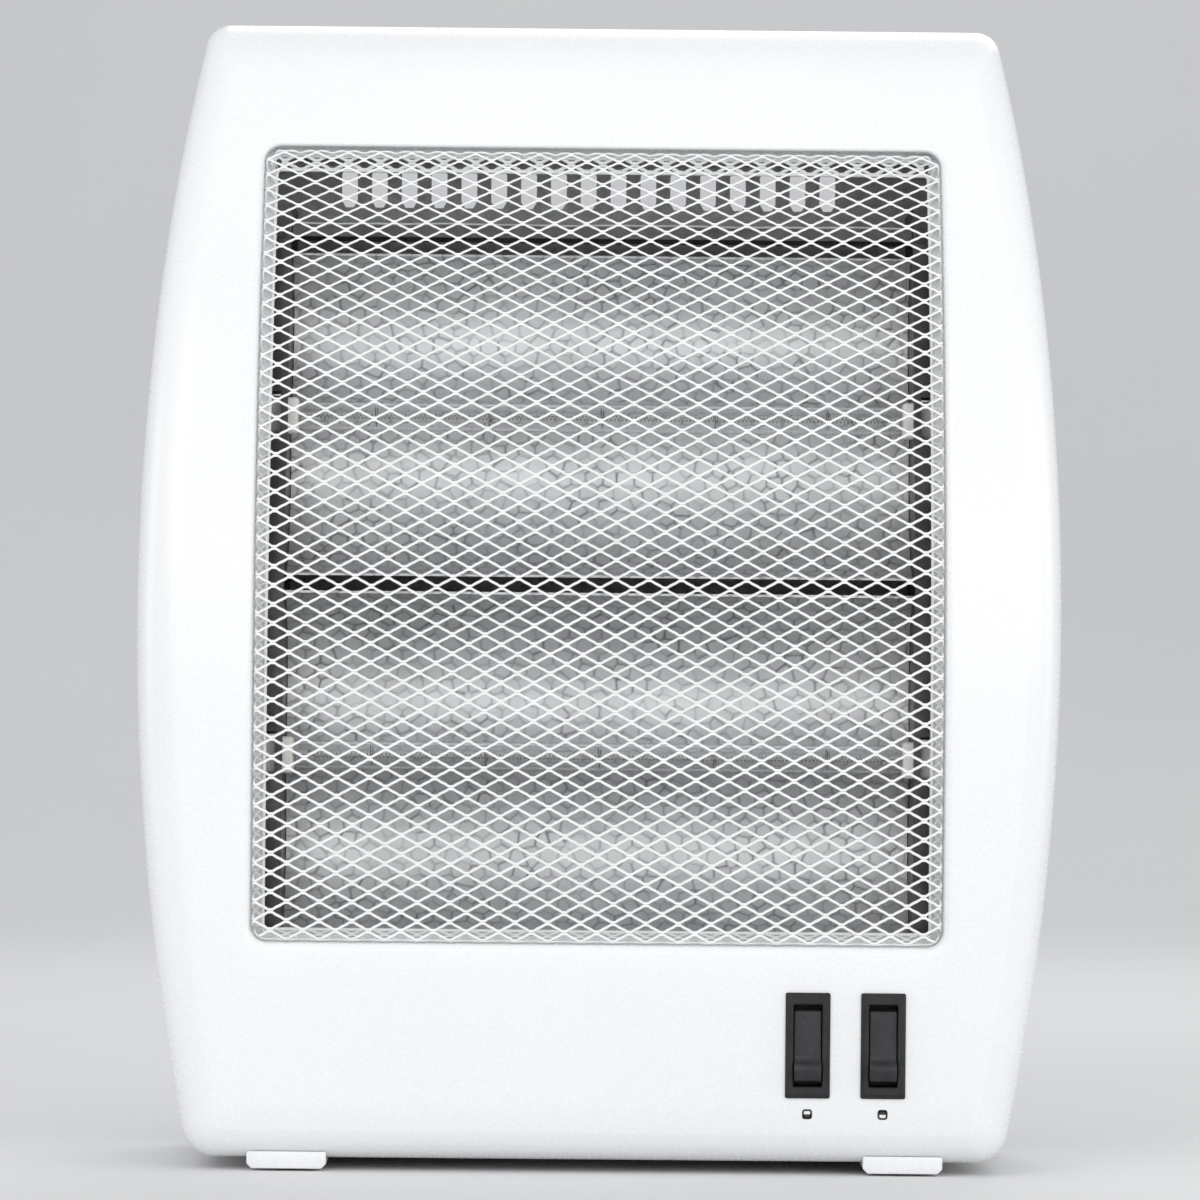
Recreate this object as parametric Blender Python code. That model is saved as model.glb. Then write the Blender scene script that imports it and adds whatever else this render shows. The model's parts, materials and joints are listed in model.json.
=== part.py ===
"""Portable halogen heater with two lamps, bowed grille, two rocker switches and a tip-over switch.

Metres, +Z up. The origin is on the floor under the middle of the heater's box.
The front faces -Y, and -X is on the left as the heater is seen from the front.
"""

import math

import bmesh
import bpy
from mathutils import Matrix, Vector

# Overall shape of the casing
ROCKER_PROUD = 0.004           # how far a rocker's raised end stands ahead of the front face
BOW_SETBACK = 0.0909           # how far the front face's upper end leans back
BAND_DEPTH = 0.013             # depth of the rolled band round the front face
WALL = 0.0024
SHOULDER_LAND = 0.0105         # least straight wall between the band and the rear edge
CASING_DEPTH = BOW_SETBACK + BAND_DEPTH + WALL + SHOULDER_LAND
FOOT_PAST_REAR = 0.0112        # rear ends of the feet behind the casing
FOOT_REAR_Y = (ROCKER_PROUD + CASING_DEPTH + FOOT_PAST_REAR) / 2.0
FRONT_Y = ROCKER_PROUD - FOOT_REAR_Y
REAR_Y = FRONT_Y + CASING_DEPTH
CASE_BOTTOM_Z = 0.004
CASE_TOP_Z = 0.3828
HALF_WIDTH = 0.1516            # half the width at the widest height
WIDEST_Z = 0.1834
SIDE_RADIUS_UPPER = 1.120      # arc of the side outline above the widest height
SIDE_RADIUS_LOWER = 0.890      # and below it
BOW_START_Z = 0.1514            # the front face is upright up to here
BOW_RADIUS = ((CASE_TOP_Z - BOW_START_Z) ** 2 + BOW_SETBACK ** 2) / (2.0 * BOW_SETBACK)
CORNER_RADIUS_TOP = 0.0065
CORNER_RADIUS_BOTTOM = 0.009
FLOOR_Z = CASE_BOTTOM_Z + WALL
CLEARANCE = 0.0003             # gap left between pieces that touch
CUT_MARGIN = 0.0024            # how far a cutting tool runs past the wall it opens

# Rolled band round the front face
BAND_SIDE = 0.0118
BAND_TOP = 0.017
BAND_BOTTOM = 0.010
BAND_PROFILE = ((0.0, 1.0), (0.04, 0.72), (0.14, 0.50), (0.32, 0.30), (0.60, 0.13), (1.0, 0.0))
FACE_SHARES = (0.33, 0.67)     # extra rows of facets between the band and the window

# Window in the front face
WINDOW_MARGIN = 0.0386         # from its sides to the casing's widest outline
WINDOW_HALF = HALF_WIDTH - WINDOW_MARGIN
WINDOW_ABOVE_BOTTOM = 0.0709
WINDOW_BELOW_TOP = 0.0444
WINDOW_BOTTOM_Z = CASE_BOTTOM_Z + WINDOW_ABOVE_BOTTOM
WINDOW_TOP_Z = CASE_TOP_Z - WINDOW_BELOW_TOP
WINDOW_CORNER = 0.0055
WINDOW_ROLL = 0.0028           # radius of its rolled edge
LIP_DEPTH = 0.0042

# Rear cover, a pressed pan inside the rear edge of the front panel
COVER_RECESS = 0.0006
COVER_SHEET = 0.0012
COVER_CORNER = 0.0030
COVER_FLANGE = 0.0070
COVER_Y = REAR_Y - COVER_RECESS
SLOT_COUNT = 17
SLOT_MARGIN = 0.0259           # from the slots' field to the window's sides
SLOT_PITCH = 2.0 * (WINDOW_HALF - SLOT_MARGIN) / SLOT_COUNT
SLOT_WIDTH = 0.0054
SLOT_CENTRE_X = -0.0045
HAND_SLOT_INSET = 0.0010
HAND_SLOT_HALF = WINDOW_HALF - HAND_SLOT_INSET
HAND_SLOT_BELOW_TOP = 0.0254
HAND_SLOT_HEIGHT = 0.0195
HAND_SLOT_TOP_Z = CASE_TOP_Z - HAND_SLOT_BELOW_TOP
HAND_SLOT_BOTTOM_Z = HAND_SLOT_TOP_Z - HAND_SLOT_HEIGHT
SLOT_BELOW_HAND_SLOT = 0.0020
SLOT_HEIGHT = 0.0145
SLOT_TOP_Z = HAND_SLOT_BOTTOM_Z - SLOT_BELOW_HAND_SLOT
SLOT_BOTTOM_Z = SLOT_TOP_Z - SLOT_HEIGHT
HAND_LIP_RISE = 0.0024         # curved lip under the long opening
HAND_LIP_REACH = 0.0050
INTAKE_COUNT = 9
INTAKE_MARGIN = 0.0230
INTAKE_PITCH = 2.0 * (WINDOW_HALF - INTAKE_MARGIN) / INTAKE_COUNT
INTAKE_ABOVE_WINDOW = 0.0025   # intake slots start above the window's lower edge
INTAKE_HEIGHT = 0.0200
INTAKE_BOTTOM_Z = WINDOW_BOTTOM_Z + INTAKE_ABOVE_WINDOW
INTAKE_TOP_Z = INTAKE_BOTTOM_Z + INTAKE_HEIGHT
GLAND_FROM_SIDE = 0.0566
GLAND_X = GLAND_FROM_SIDE - HALF_WIDTH
GLAND_ABOVE_BOTTOM = 0.0240
GLAND_Z = CASE_BOTTOM_Z + GLAND_ABOVE_BOTTOM
GLAND_HOLE_RADIUS = 0.0060
GLAND_LIP = 0.0020
GLAND_BORE_RADIUS = 0.0035

# Grille of expanded metal
DIAMOND_WIDTH = 0.01065
DIAMOND_HEIGHT = 0.00625
STRAND = 0.0010
GRILLE_SHEET = 0.0005
GRILLE_SETBACK = 0.0008        # face of the mesh behind the casing's front face
GRILLE_RIM = 0.0018
GRILLE_FOLD = 0.0075           # depth of the folded edge
GRILLE_DRAW_IN = 0.0030        # and how far it leans towards the middle
GRILLE_LAYER_GAP = 0.0003
BOW_STATIONS = 5

# Reflectors, side plates and shields
REFLECTOR_INSET = 0.0094       # its ends inside the window's sides
REFLECTOR_HALF = WINDOW_HALF - REFLECTOR_INSET
REFLECTOR_SHEET = 0.0005
REFLECTOR_LIP = 0.0030
REFLECTOR_BELOW_TOP = 0.0354   # upper reflector's top under the window's top
REFLECTOR_GAP = 0.0051
KNEE_SHARE = 0.5145            # height of the gap's middle between the reflectors' ends
LOWER_CUSP_SHARE = 0.5209      # height of each cusp as a share of its reflector
UPPER_CUSP_SHARE = 0.5111
LOWER_BOTTOM_Z = WINDOW_BOTTOM_Z
UPPER_TOP_Z = WINDOW_TOP_Z - REFLECTOR_BELOW_TOP
KNEE_Z = LOWER_BOTTOM_Z + KNEE_SHARE * (UPPER_TOP_Z - LOWER_BOTTOM_Z)
LOWER_TOP_Z = KNEE_Z - REFLECTOR_GAP / 2.0
UPPER_BOTTOM_Z = KNEE_Z + REFLECTOR_GAP / 2.0
LOWER_CUSP_Z = LOWER_BOTTOM_Z + LOWER_CUSP_SHARE * (LOWER_TOP_Z - LOWER_BOTTOM_Z)
UPPER_CUSP_Z = UPPER_BOTTOM_Z + UPPER_CUSP_SHARE * (UPPER_TOP_Z - UPPER_BOTTOM_Z)
UPPER_LEAN = math.radians(17.0)
CUSP_BEHIND_FACE = 0.0420      # cusps behind the upright front face
TROUGH_BULGE = 0.0160
EDGE_AHEAD_OF_CUSP = 0.0130
PLATE_SHEET = 0.0008
PLATE_BELOW_WINDOW = 0.0115
PLATE_BELOW_TOP = 0.0190
PLATE_BOTTOM_Z = WINDOW_BOTTOM_Z - PLATE_BELOW_WINDOW
PLATE_TOP_Z = WINDOW_TOP_Z - PLATE_BELOW_TOP
FLANGE_BEHIND_FACE = 0.0200
FLANGE_REACH = 0.0135          # the side plates' front flanges behind the casing, past the window's sides
FLANGE_HALF = WINDOW_HALF + FLANGE_REACH
WEB_TO_COVER = 0.0061          # between a side plate's upper rear corner and the cover's sheet
WEB_DEPTH = (COVER_Y - COVER_SHEET - WEB_TO_COVER - FRONT_Y - FLANGE_BEHIND_FACE
             - (PLATE_TOP_Z - KNEE_Z) * math.tan(UPPER_LEAN))
FLANGE_BELOW_PLATE_TOP = 0.0120
FLANGE_TOP_Z = PLATE_TOP_Z - FLANGE_BELOW_PLATE_TOP
NOTCH_REACH = 0.0095           # notch in a flange that lets a lamp's end be seen
NOTCH_EDGE = 0.0015
SHIELD_BELOW_PLATE_TOP = 0.0070
SHIELD_Z = PLATE_TOP_Z - SHIELD_BELOW_PLATE_TOP
SHIELD_RISE = 0.0010
SHIELD_LIP = 0.0040
SHIELD_SETBACK = 0.0010
LOWER_SHIELD_ABOVE = 0.0020    # lower shield above the side plates' lower edge

# Lamps
LAMP_AHEAD_OF_CUSP = 0.0140
LAMP_ABOVE_LOWER_CUSP = 0.0007
LAMP_BELOW_UPPER_CUSP = 0.0022
LAMP_LOWER_Z = LOWER_CUSP_Z + LAMP_ABOVE_LOWER_CUSP
LAMP_UPPER_Z = UPPER_CUSP_Z - LAMP_BELOW_UPPER_CUSP
TUBE_RADIUS = 0.0050
TUBE_WALL = 0.0010
TUBE_INSET = 0.0036            # ends of a tube inside the reflector's ends
TUBE_HALF = REFLECTOR_HALF - TUBE_INSET
CAP_LENGTH = 0.0170
CAP_WIDTH = 0.0095
CAP_HEIGHT = 0.0120
CAP_CHAMFER = 0.0012
CAP_END_SHARE = 0.8            # size of a cap's ends against its middle
CLIP_SHEET = 0.0006
CLIP_LENGTH = 0.0045
FILAMENT_RADIUS = 0.0011
FILAMENT_LEAD_RADIUS = 0.0004
FILAMENT_RING_RADIUS = 0.0033
FILAMENT_RINGS = 5
FILAMENT_SIDES = 6
FILAMENT_RING_LENGTH = 0.0005
FILAMENT_LEAD_LENGTH = 0.0060

# Rocker switches
SWITCH_FROM_SIDE = 0.0579
SWITCH_PITCH = 0.0246
SWITCH_X = (HALF_WIDTH - SWITCH_FROM_SIDE - SWITCH_PITCH, HALF_WIDTH - SWITCH_FROM_SIDE)
SWITCH_ABOVE_BOTTOM = 0.0388
SWITCH_Z = CASE_BOTTOM_Z + SWITCH_ABOVE_BOTTOM
BEZEL_WIDTH = 0.0146
BEZEL_HEIGHT = 0.0344
BEZEL_PROUD = 0.0018
BEZEL_BEVEL = 0.0012
SWITCH_BODY_WIDTH = 0.0124
SWITCH_BODY_HEIGHT = 0.0284
SWITCH_BODY_DEPTH = 0.0200
ROCKER_WIDTH = 0.0088
ROCKER_HALF_HEIGHT = 0.0115
ROCKER_PIN_RADIUS = 0.0012
ROCKER_PIN_REACH = 0.0009      # how far a rocker's pins enter the switch's side walls
ROCKER_AXIS_DEPTH = 0.0045     # pivot behind the front face
ROCKER_BACK = 0.0020           # rocker's back behind the pivot
ROCKER_SHOULDER = 0.0030       # its upper shoulder ahead of the pivot
ROCKER_RECESS_HALF = 0.0134
ROCKER_RECESS_FLOOR = 0.0056   # recess floor behind the pivot
ROCKER_FACE = ((0.974, -0.55), (-0.28, -0.45), (-0.45, -0.18), (-0.62, 0.59), (-0.74, 1.0), (-0.93, 0.86),
               (-1.035, -0.73))   # shares of the half height, and of the way from the bezel to the raised end
ROCKER_BACK_SHARE = 0.78
ROCKER_END_SHARE = 1.035
SWITCH_BLADE = (0.0048, 0.0080, 0.0008)
SWITCH_BLADE_PITCH = 0.0095
SWITCH_BLADE_ROOT = 0.0010

# Feet
FOOT_FROM_SIDE = 0.0510
FOOT_X = HALF_WIDTH - FOOT_FROM_SIDE
FOOT_WIDTH = 0.0260
FOOT_CHAMFER = 0.0016
FOOT_BOTTOM_Z = 0.0008
FOOT_SCREW_HEAD = 0.0014
PAD_RADIUS = 0.0065
PAD_HEIGHT = 0.0020
PAD_INSET = 0.0120             # pad centre from each end of the foot
FOOT_SCREW_FROM_FRONT = 0.0340
FOOT_SCREW_FROM_REAR = 0.0288
FOOT_SCREW_Y = (FRONT_Y + FOOT_SCREW_FROM_FRONT, REAR_Y - FOOT_SCREW_FROM_REAR)

# Screws and bosses
BOSS_RADIUS = 0.0045
BOSS_ROOT = 0.0017             # a boss starts inside the wall, this far behind its outer face
BOSS_EDGE = 0.0005             # from a rear boss to the rolled band
SCREW_HOLE_RADIUS = 0.0017
FOOT_BOSS_HEIGHT = 0.0100
REAR_SCREW_ABOVE_BOTTOM = 0.0260
REAR_SCREW_BELOW_TOP = 0.0378
REAR_SCREW_LOW_Z = CASE_BOTTOM_Z + REAR_SCREW_ABOVE_BOTTOM
REAR_SCREW_HIGH_Z = CASE_TOP_Z - REAR_SCREW_BELOW_TOP
REAR_SCREW_Z = (REAR_SCREW_LOW_Z, (REAR_SCREW_LOW_Z + REAR_SCREW_HIGH_Z) / 2.0, REAR_SCREW_HIGH_Z)
POST_RADIUS = 0.0040
POST_EDGE = 0.0055             # from a post's axis to the flange's outer edge
POST_X = FLANGE_HALF - POST_EDGE
POST_ABOVE_WINDOW_BOTTOM = 0.0051
POST_BELOW_WINDOW_TOP = 0.0484
POST_Z = (WINDOW_BOTTOM_Z + POST_ABOVE_WINDOW_BOTTOM, WINDOW_TOP_Z - POST_BELOW_WINDOW_TOP)
SCREW_HEAD_RADIUS = 0.0030
SCREW_HEAD_HEIGHT = 0.0018
SCREW_RADIUS = 0.0014
SCREW_LENGTH = 0.0100
SCREW_TIP_SPACE = 0.0030       # room in a hole beyond the screw's tip

# Tip-over switch
PLUNGER_FROM_REAR = 0.0368
PLUNGER_Y = REAR_Y - PLUNGER_FROM_REAR
PLUNGER_RADIUS = 0.0030
PLUNGER_SHAFT_RADIUS = 0.0018
PLUNGER_TRAVEL = 0.0060
COLLAR_RADIUS = 0.0050
COLLAR_HEIGHT = 0.0014
BRACKET_SHEET = 0.0010
BRACKET_WIDTH = 0.0120
BRACKET_HALF_SPAN = 0.0110
BRACKET_FOOT = 0.0080
SPRING_LENGTH = 0.0085
SPRING_WIRE = 0.0006
SPRING_RADIUS = 0.0034
SPRING_CURLS = 5
SPRING_POINTS = 8              # points in each curl
SHAFT_ABOVE_BRACKET = 0.0075
TIP_BODY = (0.0200, 0.0064, 0.0100)
TIP_BODY_X = -0.0170
LEVER_HINGE_X = -0.0150
LEVER_TIP_X = 0.0040
LEVER_SHEET = 0.0005
LEVER_WIDTH = 0.0036
LEVER_PIN_RADIUS = 0.0006
LEVER_PIN_REACH = 0.0006
LEVER_DROP = 0.0010            # hinge pin under the switch body
TIP_BLADES_X = (-0.0140, -0.0040)
TIP_BLADE = (0.0040, 0.0008, 0.0050)

# Wiring
LEAD_RADIUS = 0.0014
TERMINAL_BLOCK = (0.0280, 0.0160, 0.0130)
TERMINAL_FROM_GLAND = 0.0290
TERMINAL_X = GLAND_X + TERMINAL_FROM_GLAND
TERMINAL_FROM_REAR = 0.0428
TERMINAL_Y = REAR_Y - TERMINAL_FROM_REAR
TERMINAL_CELLS = 3
TERMINAL_BARRIER = 0.0020
TERMINAL_GROOVE = 0.0040
TERMINAL_BORE = 0.0018
TERMINAL_BORE_Z = 0.0050       # bores above the block's underside
LEAD_STUB = 0.0050             # straight end of a lead
LEAD_SWEEP = 0.0120            # room for a lead's bend
LEAD_STEP = 0.0100
CURVE_STEPS = 24
TUBE_RESOLUTION = 1            # six sides on the thin tubes

# Steps of the round forms
SIDE_STEPS = 10
CORNER_STEPS = 3
ROUND_SIDES = 12
SMALL_SIDES = 8
EPSILON = 0.00001

SIDES = (("left", -1.0), ("right", 1.0))


# General helpers

def clear_scene():
    """Removes every object that the file holds."""
    for item in list(bpy.data.objects):
        bpy.data.objects.remove(item, do_unlink=True)


def make_material(name, colour, roughness, metallic=0.0, alpha=1.0):
    """Returns a Principled material."""
    material = bpy.data.materials.new(name)
    material.use_nodes = True
    shader = material.node_tree.nodes["Principled BSDF"]
    shader.inputs["Base Color"].default_value = (*colour, 1.0)
    shader.inputs["Roughness"].default_value = roughness
    shader.inputs["Metallic"].default_value = metallic
    shader.inputs["Alpha"].default_value = alpha
    material.diffuse_color = (*colour, alpha)
    return material


def make_object(name, bm, material=None, smooth=True):
    """Turns a bmesh of closed bodies into a named object with its faces pointing out."""
    bmesh.ops.recalc_face_normals(bm, faces=bm.faces)
    mesh = bpy.data.meshes.new(name)
    bm.to_mesh(mesh)
    bm.free()
    if smooth:
        mesh.shade_smooth()
        mesh.set_sharp_from_angle(angle=math.radians(35.0))
    if material:
        mesh.materials.append(material)
    item = bpy.data.objects.new(name, mesh)
    bpy.context.scene.collection.objects.link(item)
    return item


def apply_tool(target, name, bm, operation):
    """Cuts or joins a tool body, which stays as a hidden wire guide."""
    tool = make_object(name, bm, smooth=False)
    tool.hide_render = True
    tool.display_type = "WIRE"
    modifier = target.modifiers.new(name, "BOOLEAN")
    modifier.operation = operation
    modifier.solver = "EXACT"
    modifier.object = tool
    return tool


def add_prism(bm, outline, start, end, axis):
    """Adds a closed prism of a plane outline, drawn in the two other axes in X, Y, Z order."""
    def place(point, along):
        if axis == "X":
            return Vector((along, point[0], point[1]))
        if axis == "Y":
            return Vector((point[0], along, point[1]))
        return Vector((point[0], point[1], along))

    first = [bm.verts.new(place(point, start)) for point in outline]
    last = [bm.verts.new(place(point, end)) for point in outline]
    bm.faces.new(first)
    bm.faces.new(list(reversed(last)))
    count = len(outline)
    for index in range(count):
        after = (index + 1) % count
        bm.faces.new((first[index], last[index], last[after], first[after]))


def add_box(bm, low, high):
    """Adds a box between two corners."""
    outline = ((low[0], low[1]), (high[0], low[1]), (high[0], high[1]), (low[0], high[1]))
    add_prism(bm, outline, low[2], high[2], "Z")


def add_rows(bm, rows, closed=False):
    """Bridges rings of equal length, then caps the ends or joins the last ring to the first."""
    rings = [[bm.verts.new(point) for point in row] for row in rows]
    pairs = list(zip(rings, rings[1:]))
    if closed:
        pairs.append((rings[-1], rings[0]))
    else:
        bm.faces.new(rings[0])
        bm.faces.new(list(reversed(rings[-1])))
    for ring, following in pairs:
        count = len(ring)
        for index in range(count):
            after = (index + 1) % count
            bm.faces.new((ring[index], following[index], following[after], ring[after]))


def add_turned(bm, profile, base, direction, sides=ROUND_SIDES, closed=False):
    """Adds a body turned about an axis; profile gives radius and distance along the axis."""
    direction = Vector(direction).normalized()
    turn = Vector((0.0, 0.0, 1.0)).rotation_difference(direction)
    rows = []
    for radius, along in profile:
        row = []
        for step in range(sides):
            angle = 2.0 * math.pi * (step + 0.5) / sides
            point = Vector((radius * math.cos(angle), radius * math.sin(angle), along))
            row.append(Vector(base) + turn @ point)
        rows.append(row)
    add_rows(bm, rows, closed)


def add_rod(bm, base, direction, length, radius, sides=ROUND_SIDES):
    """Adds a plain round rod."""
    add_turned(bm, ((radius, 0.0), (radius, length)), base, direction, sides)


def add_ring(bm, base, direction, length, radius, bore, sides=ROUND_SIDES):
    """Adds a tube with an open bore."""
    profile = ((radius, 0.0), (radius, length), (bore, length), (bore, 0.0))
    add_turned(bm, profile, base, direction, sides, closed=True)


def offset_line(points, distance):
    """Moves an open line sideways by a distance, with mitred corners."""
    moved = []
    for index, point in enumerate(points):
        here = Vector(point)
        normals = []
        for other in (index - 1, index + 1):
            if 0 <= other < len(points):
                run = (here - Vector(points[other])) if other < index else (Vector(points[other]) - here)
                run.normalize()
                normals.append(Vector((-run.y, run.x)))
        normal = sum(normals, Vector((0.0, 0.0))).normalized()
        reach = distance / max(normal.dot(normals[0]), 0.3)
        moved.append(tuple(here + normal * reach))
    return moved


def sheet_outline(points, thickness):
    """Returns the closed outline of a bent sheet that follows an open line."""
    return list(points) + list(reversed(offset_line(points, thickness)))


def arc_between(start, end, bulge, steps):
    """Returns points on an arc from start to end that bulges to the right of the chord."""
    start = Vector(start)
    end = Vector(end)
    chord = end - start
    half = chord.length / 2.0
    radius = (half * half + bulge * bulge) / (2.0 * bulge)
    across = Vector((chord.y, -chord.x)).normalized()
    centre = (start + end) / 2.0 + across * (bulge - radius)
    sweep = 2.0 * math.asin(min(1.0, half / radius))
    if bulge > half:
        sweep = 2.0 * math.pi - sweep
    first = start - centre
    points = []
    for step in range(steps + 1):
        angle = sweep * step / steps
        turned = Matrix.Rotation(angle, 2) @ first
        points.append(tuple(centre + turned))
    return points


# Shape of the casing

def front_depth(height):
    """Returns Y of the bowed front face at a height."""
    rise = min(max(0.0, height - BOW_START_Z), BOW_RADIUS * 0.98)
    return FRONT_Y + BOW_RADIUS - math.sqrt(BOW_RADIUS ** 2 - rise ** 2)


def outline_half(height):
    """Returns the casing's half width at a height."""
    radius = SIDE_RADIUS_UPPER if height > WIDEST_Z else SIDE_RADIUS_LOWER
    return HALF_WIDTH - radius + math.sqrt(radius ** 2 - (height - WIDEST_Z) ** 2)




def quarter_round(start, corner, end, steps):
    """Returns the points between start and end of a near-circular corner."""
    points = []
    weight = math.sqrt(0.5)
    for step in range(1, steps):
        t = step / steps
        shares = ((1.0 - t) ** 2, 2.0 * weight * t * (1.0 - t), t ** 2)
        total = sum(shares)
        points.append(tuple(
            (shares[0] * start[axis] + shares[1] * corner[axis] + shares[2] * end[axis]) / total
            for axis in (0, 1)))
    return points


def loop_points(half_at, bottom, top, radius_bottom, radius_top):
    """Returns an anticlockwise loop of X and Z with the same count of points for every shape."""
    side = []
    low = bottom + radius_bottom
    high = top - radius_top
    for step in range(SIDE_STEPS + 1):
        height = low + (high - low) * step / SIDE_STEPS
        side.append((half_at(height), height))
    lower_end = (half_at(bottom) - radius_bottom, bottom)
    upper_end = (half_at(top) - radius_top, top)
    lower = quarter_round(lower_end, (half_at(bottom), bottom), side[0], CORNER_STEPS)
    upper = quarter_round(side[-1], (half_at(top), top), upper_end, CORNER_STEPS)
    right = [lower_end] + lower + side + upper + [upper_end]
    left = [(-x, z) for x, z in reversed(right)]
    return right + left


def casing_loop(inset=0.0, bottom_inset=None, top_inset=None):
    """Returns the casing's outline, moved inwards by the given insets."""
    bottom_inset = inset if bottom_inset is None else bottom_inset
    top_inset = inset if top_inset is None else top_inset
    return loop_points(
        lambda height: outline_half(height) - inset,
        CASE_BOTTOM_Z + bottom_inset, CASE_TOP_Z - top_inset,
        max(CORNER_RADIUS_BOTTOM - 0.5 * inset, 0.002), max(CORNER_RADIUS_TOP - 0.5 * inset, 0.002))


def window_loop(outset=0.0):
    """Returns the window's outline, moved outwards by an outset."""
    return loop_points(
        lambda height: WINDOW_HALF + outset,
        WINDOW_BOTTOM_Z - outset, WINDOW_TOP_Z + outset,
        WINDOW_CORNER + outset, WINDOW_CORNER + outset)


def bowed(loop, depth):
    """Places a loop at a depth behind the bowed front face."""
    return [Vector((x, front_depth(z) + depth, z)) for x, z in loop]


def flat(loop, y):
    """Places a loop in an upright plane."""
    return [Vector((x, y, z)) for x, z in loop]


def mixed(first, second, share):
    """Mixes two rings or loops point by point."""
    return [tuple(a + (b - a) * share for a, b in zip(p, q)) for p, q in zip(first, second)]


def rear_boss_places():
    """Returns X and Z of the rear cover's screws."""
    places = []
    for height in REAR_SCREW_Z:
        reach = outline_half(height) - BAND_SIDE - BOSS_RADIUS - BOSS_EDGE
        places += [(-reach, height), (reach, height)]
    return places


def foot_screw_places():
    """Returns X and Y of the foot screws."""
    return [(side * FOOT_X, y) for name, side in SIDES for y in FOOT_SCREW_Y]


def lean_normal():
    """Returns the direction in which the leaning reflector faces."""
    return Vector((0.0, -math.cos(UPPER_LEAN), math.sin(UPPER_LEAN)))


def flange_point(height):
    """Returns Y of the side plates' front flange at a height."""
    base = FRONT_Y + FLANGE_BEHIND_FACE
    return base + max(0.0, height - KNEE_Z) * math.tan(UPPER_LEAN)


def post_direction(height):
    """Returns the way in which a side plate's post points, square to the flange."""
    if height > UPPER_BOTTOM_Z:
        return lean_normal()
    return Vector((0.0, -1.0, 0.0))


def add_boss_to_face(bm, x, z, radius, rear_y):
    """Adds a boss from inside the bowed front wall to a plane at the rear."""
    first = []
    last = []
    for step in range(SMALL_SIDES):
        angle = 2.0 * math.pi * (step + 0.5) / SMALL_SIDES
        px = x + radius * math.cos(angle)
        pz = z + radius * math.sin(angle)
        first.append(Vector((px, front_depth(pz) + BOSS_ROOT, pz)))
        last.append(Vector((px, rear_y, pz)))
    add_rows(bm, [first, last])


def slot_outline(x, bottom, top, width):
    """Returns a slot with round ends in X and Z."""
    radius = width / 2.0
    points = []
    for centre, first in ((top - radius, 0.0), (bottom + radius, math.pi)):
        for step in range(4):
            angle = first + math.pi * step / 3
            points.append((x + radius * math.cos(angle), centre + radius * math.sin(angle)))
    return points


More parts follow.
